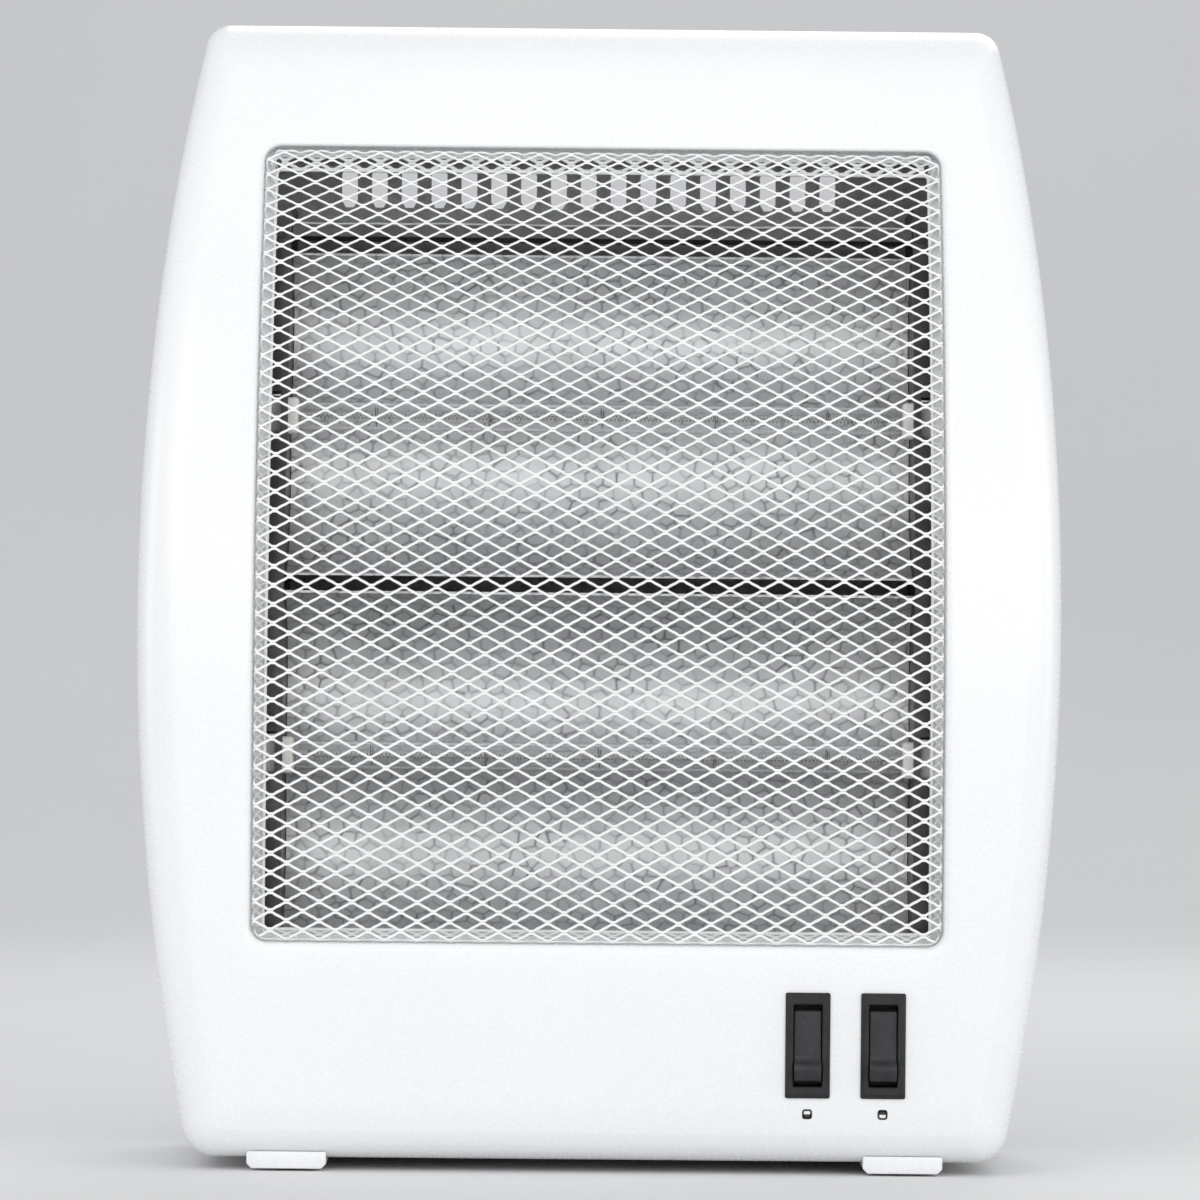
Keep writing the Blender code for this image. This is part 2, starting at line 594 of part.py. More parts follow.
def build_front_panel(material):
    """Deep moulded casing: bowed face, rolled band, window with a rolled edge, bosses and posts."""
    crease = casing_loop(BAND_SIDE, BAND_BOTTOM, BAND_TOP)
    outer = casing_loop()
    inner = casing_loop(WALL)
    rows = [flat(outer, REAR_Y)]
    for share, depth in BAND_PROFILE:
        rows.append(bowed(mixed(outer, crease, share), depth * BAND_DEPTH))
    for share in FACE_SHARES:
        rows.append(bowed(mixed(crease, window_loop(WINDOW_ROLL), share), 0.0))
    for step in range(4):
        angle = math.radians(30.0 * step)
        outset = WINDOW_ROLL * (1.0 - math.sin(angle))
        rows.append(bowed(window_loop(outset), WINDOW_ROLL * (1.0 - math.cos(angle))))
    rows.append(bowed(window_loop(), LIP_DEPTH))
    rows.append(bowed(window_loop(WALL), LIP_DEPTH))
    rows.append(bowed(window_loop(WALL), WALL))
    for share in reversed(FACE_SHARES):
        rows.append(bowed(mixed(crease, window_loop(WALL), share), WALL))
    for share, depth in reversed(BAND_PROFILE):
        rows.append(bowed(mixed(inner, crease, share), WALL + depth * BAND_DEPTH))
    rows.append(flat(inner, REAR_Y))
    bm = bmesh.new()
    add_rows(bm, rows, closed=True)
    panel = make_object("front_panel", bm, material)

    bosses = bmesh.new()
    for x, z in rear_boss_places():
        add_boss_to_face(bosses, x, z, BOSS_RADIUS, COVER_Y - COVER_SHEET - CLEARANCE)
    for x, y in foot_screw_places():
        add_rod(bosses, (x, y, CASE_BOTTOM_Z + BOSS_ROOT), (0, 0, 1),
                FOOT_BOSS_HEIGHT, BOSS_RADIUS, SMALL_SIDES)
    for name, side in SIDES:
        for height in POST_Z:
            direction = post_direction(height)
            base = Vector((side * POST_X, flange_point(height), height)) + direction * CLEARANCE
            gap = base.y - front_depth(base.z) - BOSS_ROOT
            lean = max(0.0, base.z - BOW_START_Z) / BOW_RADIUS
            face_normal = Vector((0.0, -math.sqrt(1.0 - lean ** 2), lean))
            length = gap * -face_normal.y / direction.dot(face_normal)
            add_rod(bosses, base, direction, length, POST_RADIUS, SMALL_SIDES)
    apply_tool(panel, "tool_panel_bosses", bosses, "UNION")

    holes = bmesh.new()
    hole_length = SCREW_LENGTH + SCREW_TIP_SPACE
    for x, z in rear_boss_places():
        add_rod(holes, (x, REAR_Y, z), (0, -1, 0), hole_length, SCREW_HOLE_RADIUS, SMALL_SIDES)
    for x, y in foot_screw_places():
        add_rod(holes, (x, y, 0.0), (0, 0, 1), hole_length, SCREW_HOLE_RADIUS, SMALL_SIDES)
    for name, side in SIDES:
        for height in POST_Z:
            direction = post_direction(height)
            base = Vector((side * POST_X, flange_point(height), height))
            add_rod(holes, base, direction, SCREW_LENGTH, SCREW_HOLE_RADIUS, SMALL_SIDES)
    half_width = SWITCH_BODY_WIDTH / 2.0 + CLEARANCE
    half_height = SWITCH_BODY_HEIGHT / 2.0 + CLEARANCE
    for x in SWITCH_X:
        add_box(holes, (x - half_width, FRONT_Y - CUT_MARGIN, SWITCH_Z - half_height),
                (x + half_width, FRONT_Y + WALL + CUT_MARGIN, SWITCH_Z + half_height))
    add_rod(holes, (0.0, PLUNGER_Y, 0.0), (0, 0, 1), FLOOR_Z + CUT_MARGIN, PLUNGER_RADIUS + CLEARANCE)
    apply_tool(panel, "tool_panel_holes", holes, "DIFFERENCE")
    return panel


def build_rear_cover(material):
    """Pressed rear pan with upright slots, a long hand opening with a curled lip, and an inlet hole."""
    edge = WALL + CLEARANCE
    rows = [flat(casing_loop(edge), COVER_Y - COVER_FLANGE)]
    for step in range(4):
        angle = math.radians(30.0 * step)
        inset = edge + COVER_CORNER * (1.0 - math.cos(angle))
        rows.append(flat(casing_loop(inset), COVER_Y - COVER_CORNER * (1.0 - math.sin(angle))))
    inner_corner = COVER_CORNER - COVER_SHEET
    inner_rows = [flat(casing_loop(edge + COVER_SHEET), COVER_Y - COVER_FLANGE)]
    for step in range(4):
        angle = math.radians(30.0 * step)
        inset = edge + COVER_SHEET + inner_corner * (1.0 - math.cos(angle))
        depth = COVER_CORNER - inner_corner * math.sin(angle)
        inner_rows.append(flat(casing_loop(inset), COVER_Y - depth))
    bm = bmesh.new()
    add_rows(bm, list(reversed(rows)) + inner_rows)
    cover = make_object("rear_cover", bm, material)

    holes = bmesh.new()
    near = COVER_Y - COVER_CORNER
    far = COVER_Y + COVER_CORNER
    for index in range(SLOT_COUNT):
        x = SLOT_CENTRE_X + (index - (SLOT_COUNT - 1) / 2.0) * SLOT_PITCH
        add_prism(holes, slot_outline(x, SLOT_BOTTOM_Z, SLOT_TOP_Z, SLOT_WIDTH), near, far, "Y")
    for index in range(INTAKE_COUNT):
        x = (index - (INTAKE_COUNT - 1) / 2.0) * INTAKE_PITCH
        add_prism(holes, slot_outline(x, INTAKE_BOTTOM_Z, INTAKE_TOP_Z, SLOT_WIDTH), near, far, "Y")
    radius = (HAND_SLOT_TOP_Z - HAND_SLOT_BOTTOM_Z) / 2.0
    middle = HAND_SLOT_BOTTOM_Z + radius
    long_slot = []
    for side, first in ((1.0, -0.5 * math.pi), (-1.0, 0.5 * math.pi)):
        for step in range(7):
            angle = first + math.pi * step / 6
            long_slot.append((side * (HAND_SLOT_HALF - radius) + radius * math.cos(angle),
                              middle + radius * math.sin(angle)))
    add_prism(holes, long_slot, near, far, "Y")
    for x, z in rear_boss_places():
        add_rod(holes, (x, near, z), (0, 1, 0), far - near, SCREW_HOLE_RADIUS, SMALL_SIDES)
    add_rod(holes, (GLAND_X, near, GLAND_Z), (0, 1, 0), far - near, GLAND_HOLE_RADIUS)
    apply_tool(cover, "tool_cover_holes", holes, "DIFFERENCE")

    lip = bmesh.new()
    line = []
    for step in range(5):
        angle = math.radians(90.0 * step / 4)
        line.append((COVER_Y - COVER_SHEET / 2.0 - HAND_LIP_REACH * math.sin(angle),
                     HAND_SLOT_BOTTOM_Z - COVER_SHEET + HAND_LIP_RISE * (1.0 - math.cos(angle))))
    reach = HAND_SLOT_HALF - radius
    add_prism(lip, sheet_outline(line, -COVER_SHEET * 0.8), -reach, reach, "X")
    apply_tool(cover, "tool_cover_lip", lip, "UNION")
    return cover


def bowed_sheet_point(x, run, depth):
    """Bends a flat point onto the bow; run is the length up the face and depth is square to it."""
    if run <= BOW_START_Z:
        return Vector((x, FRONT_Y + depth, run))
    angle = (run - BOW_START_Z) / (BOW_RADIUS - GRILLE_SETBACK)
    reach = BOW_RADIUS - depth
    return Vector((x, FRONT_Y + BOW_RADIUS - reach * math.cos(angle), BOW_START_Z + reach * math.sin(angle)))


def grille_run_top():
    """Returns the length up the bowed face at the window's upper edge."""
    rise = math.asin((WINDOW_TOP_Z - BOW_START_Z) / BOW_RADIUS)
    return BOW_START_Z + rise * (BOW_RADIUS - GRILLE_SETBACK)


def add_strands(bm, slope, depth, low, high, half):
    """Adds one layer of parallel ridged strands over the flat net, longer than the net on every side."""
    rise = DIAMOND_HEIGHT / DIAMOND_WIDTH
    drift = STRAND / 2.0 * math.sqrt(1.0 + rise ** 2)
    reach = half + DIAMOND_WIDTH
    climb = rise * reach
    first = math.floor((low - climb) / DIAMOND_HEIGHT)
    last = math.ceil((high + climb) / DIAMOND_HEIGHT)
    for index in range(first, last + 1):
        middle = index * DIAMOND_HEIGHT
        start = middle - slope * climb
        end = middle + slope * climb
        if max(start, end) > low and min(start, end) < high:
            rows = [[Vector((x, depth + GRILLE_SHEET, z - drift)), Vector((x, depth + GRILLE_SHEET, z + drift)),
                     Vector((x, depth, z))] for x, z in ((-reach, start), (reach, end))]
            add_rows(bm, rows)


def clip_flat(bm, point, normal):
    """Cuts away what lies beyond a plane and closes the cut ends."""
    geometry = bm.verts[:] + bm.edges[:] + bm.faces[:]
    bmesh.ops.bisect_plane(bm, geom=geometry, dist=EPSILON * 0.1, plane_co=point, plane_no=normal,
                           clear_outer=True)
    open_edges = [edge for edge in bm.edges if edge.is_boundary]
    bmesh.ops.holes_fill(bm, edges=open_edges, sides=0)


def build_grille(material):
    """Expanded metal net in a folded rim, drawn flat, joined, and then bent onto the bow."""
    half = WINDOW_HALF
    low = WINDOW_BOTTOM_Z
    high = grille_run_top()
    edge = CLEARANCE + GRILLE_RIM / 2.0
    front = GRILLE_SETBACK
    back = front + 2.0 * GRILLE_SHEET + GRILLE_LAYER_GAP
    net = bmesh.new()
    add_strands(net, 1.0, front, low, high, half)
    add_strands(net, -1.0, back - GRILLE_SHEET, low, high, half)
    tangent = (WINDOW_CORNER - edge) * math.sqrt(0.5)
    for sign_x in (1.0, -1.0):
        clip_flat(net, (sign_x * (half - edge), 0.0, 0.0), (sign_x, 0.0, 0.0))
        for sign_z, end in ((1.0, high), (-1.0, low)):
            middle = (sign_x * (half - WINDOW_CORNER), end - sign_z * WINDOW_CORNER)
            corner = (middle[0] + sign_x * tangent, 0.0, middle[1] + sign_z * tangent)
            clip_flat(net, corner, (sign_x * math.sqrt(0.5), 0.0, sign_z * math.sqrt(0.5)))
    clip_flat(net, (0.0, 0.0, high - edge), (0.0, 0.0, 1.0))
    clip_flat(net, (0.0, 0.0, low + edge), (0.0, 0.0, -1.0))
    flat_net = make_object("grille_flat", net, smooth=False)

    skin = GRILLE_SHEET / 2.0
    near = front - skin / 2.0
    far = back + skin / 2.0
    profile = (
        (GRILLE_RIM, near),
        (0.0, near),
        (0.0, LIP_DEPTH),
        (GRILLE_DRAW_IN, near + GRILLE_FOLD),
        (GRILLE_DRAW_IN + GRILLE_SHEET, near + GRILLE_FOLD),
        (GRILLE_SHEET, LIP_DEPTH),
        (GRILLE_SHEET, far),
        (GRILLE_RIM, far),
    )
    rows = []
    for inwards, depth in profile:
        inset = CLEARANCE + inwards
        loop = loop_points(lambda height: half - inset, low + inset, high - inset,
                           WINDOW_CORNER - inset, WINDOW_CORNER - inset)
        rows.append([Vector((x, depth, run)) for x, run in loop])
    rim = bmesh.new()
    add_rows(rim, rows, closed=True)
    apply_tool(flat_net, "tool_grille_rim", rim, "UNION")

    graph = bpy.context.evaluated_depsgraph_get()
    joined = bpy.data.meshes.new_from_object(flat_net.evaluated_get(graph))
    bm = bmesh.new()
    bm.from_mesh(joined)
    for step in range(BOW_STATIONS):
        run = BOW_START_Z + (high - BOW_START_Z) * step / BOW_STATIONS
        geometry = bm.verts[:] + bm.edges[:] + bm.faces[:]
        bmesh.ops.bisect_plane(bm, geom=geometry, dist=EPSILON * 0.1,
                               plane_co=(0.0, 0.0, run), plane_no=(0.0, 0.0, 1.0))
    for vert in bm.verts:
        vert.co = bowed_sheet_point(vert.co.x, vert.co.z, vert.co.y)
    for name in ("grille_flat", "tool_grille_rim"):
        bpy.data.objects.remove(bpy.data.objects[name], do_unlink=True)
    bpy.data.meshes.remove(joined)
    return make_object("grille", bm, material, smooth=False)


# Heating unit

def cusp_place(upper):
    """Returns Y and Z of a reflector's cusp."""
    if not upper:
        return FRONT_Y + CUSP_BEHIND_FACE, LOWER_CUSP_Z
    behind_flange = (CUSP_BEHIND_FACE - FLANGE_BEHIND_FACE) / math.cos(UPPER_LEAN)
    return flange_point(UPPER_CUSP_Z) + behind_flange, UPPER_CUSP_Z


def lamp_place(upper):
    """Returns Y and Z of a lamp's axis."""
    cusp_y = cusp_place(upper)[0]
    lean = UPPER_LEAN if upper else 0.0
    height = LAMP_UPPER_Z if upper else LAMP_LOWER_Z
    return cusp_y - LAMP_AHEAD_OF_CUSP * math.cos(lean), height


def build_reflector(name, upper, material):
    """Embossed sheet with two troughs that meet in a cusp behind the lamp."""
    lean = UPPER_LEAN if upper else 0.0
    bottom, top = (UPPER_BOTTOM_Z, UPPER_TOP_Z) if upper else (LOWER_BOTTOM_Z, LOWER_TOP_Z)
    cusp_y, cusp_z = cusp_place(upper)
    ahead = EDGE_AHEAD_OF_CUSP

    def along(height):
        return (height - cusp_z - ahead * math.sin(lean)) / math.cos(lean)

    low = along(bottom)
    high = along(top)
    line = [(-ahead, low)]
    line += arc_between((-ahead, low + REFLECTOR_LIP), (0.0, 0.0), TROUGH_BULGE, 9)
    line += arc_between((0.0, 0.0), (-ahead, high - REFLECTOR_LIP), TROUGH_BULGE, 9)[1:]
    line.append((-ahead, high))
    turned = []
    for y, z in sheet_outline(line, -REFLECTOR_SHEET):
        turned.append((cusp_y + y * math.cos(lean) + z * math.sin(lean),
                       cusp_z - y * math.sin(lean) + z * math.cos(lean)))
    bm = bmesh.new()
    add_prism(bm, turned, -REFLECTOR_HALF, REFLECTOR_HALF, "X")
    return make_object(name, bm, material)


def build_side_plate(name, side, material):
    """Sheet side plate: web with lamp holes, and a front flange that follows the reflectors."""
    inner = side * (REFLECTOR_HALF + CLEARANCE)
    outer = inner + side * PLATE_SHEET
    heights = (PLATE_BOTTOM_Z, KNEE_Z, PLATE_TOP_Z)
    front = [(flange_point(z), z) for z in heights]
    rear = [(flange_point(z) + WEB_DEPTH, z) for z in reversed(heights)]
    web = bmesh.new()
    add_prism(web, front + rear, min(inner, outer), max(inner, outer), "X")
    plate = make_object(name, web, material)

    flange_line = [(flange_point(z), z) for z in (PLATE_BOTTOM_Z, KNEE_Z, FLANGE_TOP_Z)]
    edge = side * FLANGE_HALF
    start = inner + side * PLATE_SHEET / 4.0
    flange = bmesh.new()
    add_prism(flange, sheet_outline(flange_line, -PLATE_SHEET), min(start, edge), max(start, edge), "X")
    apply_tool(plate, "tool_" + name + "_flange", flange, "UNION")

    holes = bmesh.new()
    notch = outer + side * NOTCH_REACH
    for upper in (False, True):
        y, z = lamp_place(upper)
        half_width = CAP_WIDTH / 2.0 + CLEARANCE
        half_height = CAP_HEIGHT / 2.0 + CLEARANCE
        add_box(holes, (min(inner, outer) - CUT_MARGIN, y - half_width, z - half_height),
                (max(inner, outer) + PLATE_SHEET, y + half_width, z + half_height))
        flange_y = flange_point(z)
        rise = half_height + NOTCH_EDGE
        start = outer + side * NOTCH_EDGE
        add_box(holes, (min(start, notch), flange_y - 2.0 * CUT_MARGIN, z - rise),
                (max(start, notch), flange_y + 2.0 * CUT_MARGIN, z + rise))
    for height in POST_Z:
        direction = post_direction(height)
        base = Vector((side * POST_X, flange_point(height), height)) - direction * 2.0 * CUT_MARGIN
        add_rod(holes, base, direction, 4.0 * CUT_MARGIN, SCREW_HOLE_RADIUS, SMALL_SIDES)
    apply_tool(plate, "tool_" + name + "_holes", holes, "DIFFERENCE")
    return plate


def build_shields(material):
    """Bent sheets over the upper reflector and under the lower one."""
    front = flange_point(SHIELD_Z) + SHIELD_SETBACK
    rear = flange_point(SHIELD_Z) + WEB_DEPTH - 2.0 * SHIELD_SETBACK
    top_line = [(front, SHIELD_Z - SHIELD_LIP), (front, SHIELD_Z),
                (rear, SHIELD_Z + SHIELD_RISE), (rear, SHIELD_Z + SHIELD_RISE - SHIELD_LIP)]
    top = bmesh.new()
    add_prism(top, sheet_outline(top_line, -PLATE_SHEET), -REFLECTOR_HALF, REFLECTOR_HALF, "X")
    make_object("heat_shield_top", top, material)

    height = PLATE_BOTTOM_Z + LOWER_SHIELD_ABOVE
    front = flange_point(height) + SHIELD_SETBACK
    rear = flange_point(height) + WEB_DEPTH - SHIELD_SETBACK
    low_line = [(front, height + SHIELD_LIP), (front, height), (rear, height), (rear, height + SHIELD_LIP)]
    low = bmesh.new()
    add_prism(low, sheet_outline(low_line, PLATE_SHEET), -REFLECTOR_HALF, REFLECTOR_HALF, "X")
    make_object("bottom_shield", low, material)


def cap_section(y, z, scale):
    """Returns the ceramic end cap's section in Y and Z, with cut corners."""
    half_y = CAP_WIDTH / 2.0 * scale
    half_z = CAP_HEIGHT / 2.0 * scale
    cut = 0.25 * min(half_y, half_z)
    corners = ((-half_y, -half_z + cut), (-half_y + cut, -half_z), (half_y - cut, -half_z),
               (half_y, -half_z + cut), (half_y, half_z - cut), (half_y - cut, half_z),
               (-half_y + cut, half_z), (-half_y, half_z - cut))
    return [(y + a, z + b) for a, b in corners]


def build_lamp(level, upper, glass, tungsten, ceramic, spring_steel):
    """Lamp: open quartz tube, filament with support rings, two ceramic ends and their clips."""
    y, z = lamp_place(upper)
    tube = bmesh.new()
    add_ring(tube, (-TUBE_HALF, y, z), (1, 0, 0), 2.0 * TUBE_HALF, TUBE_RADIUS, TUBE_RADIUS - TUBE_WALL)
    make_object("lamp_" + level + "_tube", tube, glass)

    profile = [(FILAMENT_LEAD_RADIUS, 0.0), (FILAMENT_LEAD_RADIUS, FILAMENT_LEAD_LENGTH),
               (FILAMENT_RADIUS, FILAMENT_LEAD_LENGTH)]
    span = 2.0 * (TUBE_HALF - FILAMENT_LEAD_LENGTH)
    for index in range(FILAMENT_RINGS):
        start = FILAMENT_LEAD_LENGTH + span * (index + 0.5) / FILAMENT_RINGS
        end = start + FILAMENT_RING_LENGTH
        profile += [(FILAMENT_RADIUS, start), (FILAMENT_RING_RADIUS, start),
                    (FILAMENT_RING_RADIUS, end), (FILAMENT_RADIUS, end)]
    last = FILAMENT_LEAD_LENGTH + span
    profile += [(FILAMENT_RADIUS, last), (FILAMENT_LEAD_RADIUS, last),
                (FILAMENT_LEAD_RADIUS, 2.0 * TUBE_HALF)]
    filament = bmesh.new()
    add_turned(filament, profile, (-TUBE_HALF, y, z), (1, 0, 0), FILAMENT_SIDES)
    make_object("lamp_" + level + "_filament", filament, tungsten)

    for name, side in SIDES:
        near = TUBE_HALF + CLEARANCE
        stations = ((near, CAP_END_SHARE), (near + CAP_CHAMFER, 1.0),
                    (near + CAP_LENGTH - CAP_CHAMFER, 1.0), (near + CAP_LENGTH, CAP_END_SHARE))
        rows = [[Vector((side * x, a, b)) for a, b in cap_section(y, z, scale)] for x, scale in stations]
        cap = bmesh.new()
        add_rows(cap, rows)
        make_object("lamp_" + level + "_cap_" + name, cap, ceramic)

        half_y = CAP_WIDTH / 2.0 + CLEARANCE
        half_z = CAP_HEIGHT / 2.0 + CLEARANCE
        line = [(y - half_y, z - half_z), (y + half_y, z - half_z), (y + half_y, z + half_z),
                (y - half_y, z + half_z)]
        start = side * (REFLECTOR_HALF + PLATE_SHEET + 2.0 * CLEARANCE)
        end = start + side * CLIP_LENGTH
        clip = bmesh.new()
        add_prism(clip, sheet_outline(line, -CLIP_SHEET), min(start, end), max(start, end), "X")
        make_object("lamp_" + level + "_clip_" + name, clip, spring_steel)


# Rocker switches

def rectangle(x, z, width, height):
    """Returns a rectangle in X and Z."""
    return [(x - width / 2.0, z - height / 2.0), (x + width / 2.0, z - height / 2.0),
            (x + width / 2.0, z + height / 2.0), (x - width / 2.0, z + height / 2.0)]


def switch_blade_end():
    """Returns Y of the rear ends of the switch blades."""
    return FRONT_Y + SWITCH_BODY_DEPTH + SWITCH_BLADE[1]


def build_switch(name, x, body_material, rocker_material):
    """Slim rocker switch: bevelled bezel, body with blades, and a rocker on two short pins."""
    rear = FRONT_Y - CLEARANCE
    front = FRONT_Y - BEZEL_PROUD
    slim = 2.0 * BEZEL_BEVEL
    bezel_rows = [flat(rectangle(x, SWITCH_Z, BEZEL_WIDTH, BEZEL_HEIGHT), rear),
                  flat(rectangle(x, SWITCH_Z, BEZEL_WIDTH, BEZEL_HEIGHT), rear - CLEARANCE),
                  flat(rectangle(x, SWITCH_Z, BEZEL_WIDTH - slim, BEZEL_HEIGHT - slim), front)]
    bezel = bmesh.new()
    add_rows(bezel, bezel_rows)
    body = make_object("switch_" + name + "_body", bezel, body_material, smooth=False)

    shell = bmesh.new()
    add_box(shell, (x - SWITCH_BODY_WIDTH / 2.0, (rear + front) / 2.0, SWITCH_Z - SWITCH_BODY_HEIGHT / 2.0),
            (x + SWITCH_BODY_WIDTH / 2.0, FRONT_Y + SWITCH_BODY_DEPTH, SWITCH_Z + SWITCH_BODY_HEIGHT / 2.0))
    apply_tool(body, "tool_switch_" + name + "_shell", shell, "UNION")
    blades = bmesh.new()
    for step in (-1, 0, 1):
        z = SWITCH_Z + step * SWITCH_BLADE_PITCH
        start = FRONT_Y + SWITCH_BODY_DEPTH - SWITCH_BLADE_ROOT
        add_box(blades, (x - SWITCH_BLADE[0] / 2.0, start, z - SWITCH_BLADE[2] / 2.0),
                (x + SWITCH_BLADE[0] / 2.0, switch_blade_end(), z + SWITCH_BLADE[2] / 2.0))
    apply_tool(body, "tool_switch_" + name + "_blades", blades, "UNION")
    pivot_y = FRONT_Y + ROCKER_AXIS_DEPTH
    recess = bmesh.new()
    recess_half = ROCKER_WIDTH / 2.0 + CLEARANCE
    add_box(recess, (x - recess_half, front - CUT_MARGIN, SWITCH_Z - ROCKER_RECESS_HALF),
            (x + recess_half, pivot_y + ROCKER_RECESS_FLOOR, SWITCH_Z + ROCKER_RECESS_HALF))
    apply_tool(body, "tool_switch_" + name + "_recess", recess, "DIFFERENCE")
    bore = bmesh.new()
    bore_half = recess_half + ROCKER_PIN_REACH + CLEARANCE
    add_rod(bore, (x - bore_half, pivot_y, SWITCH_Z), (1, 0, 0), 2.0 * bore_half,
            ROCKER_PIN_RADIUS + CLEARANCE, SMALL_SIDES)
    apply_tool(body, "tool_switch_" + name + "_bore", bore, "DIFFERENCE")

    flush = ROCKER_AXIS_DEPTH + BEZEL_PROUD
    rise = ROCKER_PROUD - BEZEL_PROUD
    profile = [(flush + rise * share, up) for up, share in ROCKER_FACE]
    profile += [(-ROCKER_BACK, -ROCKER_BACK_SHARE), (-ROCKER_BACK, ROCKER_BACK_SHARE),
                (ROCKER_SHOULDER, ROCKER_END_SHARE)]
    outline = [(pivot_y - ahead, SWITCH_Z + up * ROCKER_HALF_HEIGHT) for ahead, up in profile]
    rocker_bm = bmesh.new()
    add_prism(rocker_bm, outline, x - ROCKER_WIDTH / 2.0, x + ROCKER_WIDTH / 2.0, "X")
    rocker = make_object("switch_" + name + "_rocker", rocker_bm, rocker_material)
    pins = bmesh.new()
    pin_half = ROCKER_WIDTH / 2.0 + CLEARANCE + ROCKER_PIN_REACH
    add_rod(pins, (x - pin_half, pivot_y, SWITCH_Z), (1, 0, 0), 2.0 * pin_half, ROCKER_PIN_RADIUS, SMALL_SIDES)
    apply_tool(rocker, "tool_switch_" + name + "_pins", pins, "UNION")
    set_origin(rocker, (x, pivot_y, SWITCH_Z))


def set_origin(item, place):
    """Puts an object's origin on its joint's axis without moving its shape."""
    place = Vector(place)
    item.data.transform(Matrix.Translation(-place))
    item.location = place


# Feet

def foot_stations():
    """Returns Y and top Z along a foot, whose front follows the casing's bottom band."""
    stations = []
    for share, depth in reversed(BAND_PROFILE[:4]):
        top = CASE_BOTTOM_Z + share * BAND_BOTTOM - 2.0 * CLEARANCE
        stations.append((FRONT_Y + depth * BAND_DEPTH, top))
    stations[-1] = (stations[-1][0], CASE_BOTTOM_Z - CLEARANCE)
    stations.append((FOOT_REAR_Y, CASE_BOTTOM_Z - CLEARANCE))
    return stations


def pad_places(side):
    """Returns X and Y of a foot's two pads."""
    front = foot_stations()[0][0] + PAD_INSET
    return [(side * FOOT_X, front), (side * FOOT_X, FOOT_REAR_Y - PAD_INSET)]


def build_foot(name, side, material, rubber):
    """Moulded foot along the casing's underside, with two rubber pads set into it."""
    x = side * FOOT_X
    half = FOOT_WIDTH / 2.0
    rows = []
    for y, top in foot_stations():
        outline = ((x - half + FOOT_CHAMFER, FOOT_BOTTOM_Z), (x + half - FOOT_CHAMFER, FOOT_BOTTOM_Z),
                   (x + half, FOOT_BOTTOM_Z + FOOT_CHAMFER), (x + half, top),
                   (x - half, top), (x - half, FOOT_BOTTOM_Z + FOOT_CHAMFER))
        rows.append([Vector((a, y, b)) for a, b in outline])
    bm = bmesh.new()
    add_rows(bm, rows)
    foot = make_object("foot_" + name, bm, material)

    holes = bmesh.new()
    for px, py in pad_places(side):
        add_rod(holes, (px, py, 0.0), (0, 0, 1), PAD_HEIGHT + CLEARANCE, PAD_RADIUS + CLEARANCE)
    seat = FOOT_BOTTOM_Z + FOOT_SCREW_HEAD + CLEARANCE
    for y in FOOT_SCREW_Y:
        profile = ((SCREW_HEAD_RADIUS + CLEARANCE, 0.0), (SCREW_HEAD_RADIUS + CLEARANCE, seat),
                   (SCREW_HOLE_RADIUS, seat), (SCREW_HOLE_RADIUS, CASE_BOTTOM_Z))
        add_turned(holes, profile, (x, y, 0.0), (0, 0, 1), SMALL_SIDES)
    apply_tool(foot, "tool_foot_" + name, holes, "DIFFERENCE")

    for index, (px, py) in enumerate(pad_places(side)):
        pad = bmesh.new()
        profile = ((PAD_RADIUS - CLEARANCE, 0.0), (PAD_RADIUS, CLEARANCE), (PAD_RADIUS, PAD_HEIGHT))
        add_turned(pad, profile, (px, py, 0.0), (0, 0, 1))
        make_object("foot_pad_" + name + ("_front", "_rear")[index], pad, rubber)


# Tip-over switch

def collar_bottom():
    """Returns the height of the plunger's collar, which drops onto the casing's floor."""
    return FLOOR_Z + CLEARANCE + PLUNGER_TRAVEL


def spring_base():
    """Returns the height of the spring's lower end."""
    return collar_bottom() + COLLAR_HEIGHT + CLEARANCE


def bracket_top():
    """Returns the height of the bracket's upper face."""
    return spring_base() + SPRING_LENGTH + CLEARANCE + BRACKET_SHEET


def lever_height():
    """Returns the height of the lever's underside."""
    return bracket_top() + SHAFT_ABOVE_BRACKET + CLEARANCE


def tip_body_bottom():
    """Returns the height of the tip-over switch's underside."""
    return lever_height() + LEVER_SHEET + LEVER_DROP


def build_plunger(material):
    """Plunger with a domed foot, a collar under the spring and a shaft up to the lever."""
    profile = ((PLUNGER_RADIUS - 2.0 * CLEARANCE, CLEARANCE), (PLUNGER_RADIUS, 3.0 * CLEARANCE),
               (PLUNGER_RADIUS, collar_bottom()), (COLLAR_RADIUS, collar_bottom()),
               (COLLAR_RADIUS, collar_bottom() + COLLAR_HEIGHT),
               (PLUNGER_SHAFT_RADIUS, collar_bottom() + COLLAR_HEIGHT),
               (PLUNGER_SHAFT_RADIUS, bracket_top() + SHAFT_ABOVE_BRACKET))
    bm = bmesh.new()
    add_turned(bm, profile, (0.0, PLUNGER_Y, 0.0), (0, 0, 1))
    plunger = make_object("tip_plunger", bm, material)
    set_origin(plunger, (0.0, PLUNGER_Y, 0.0))


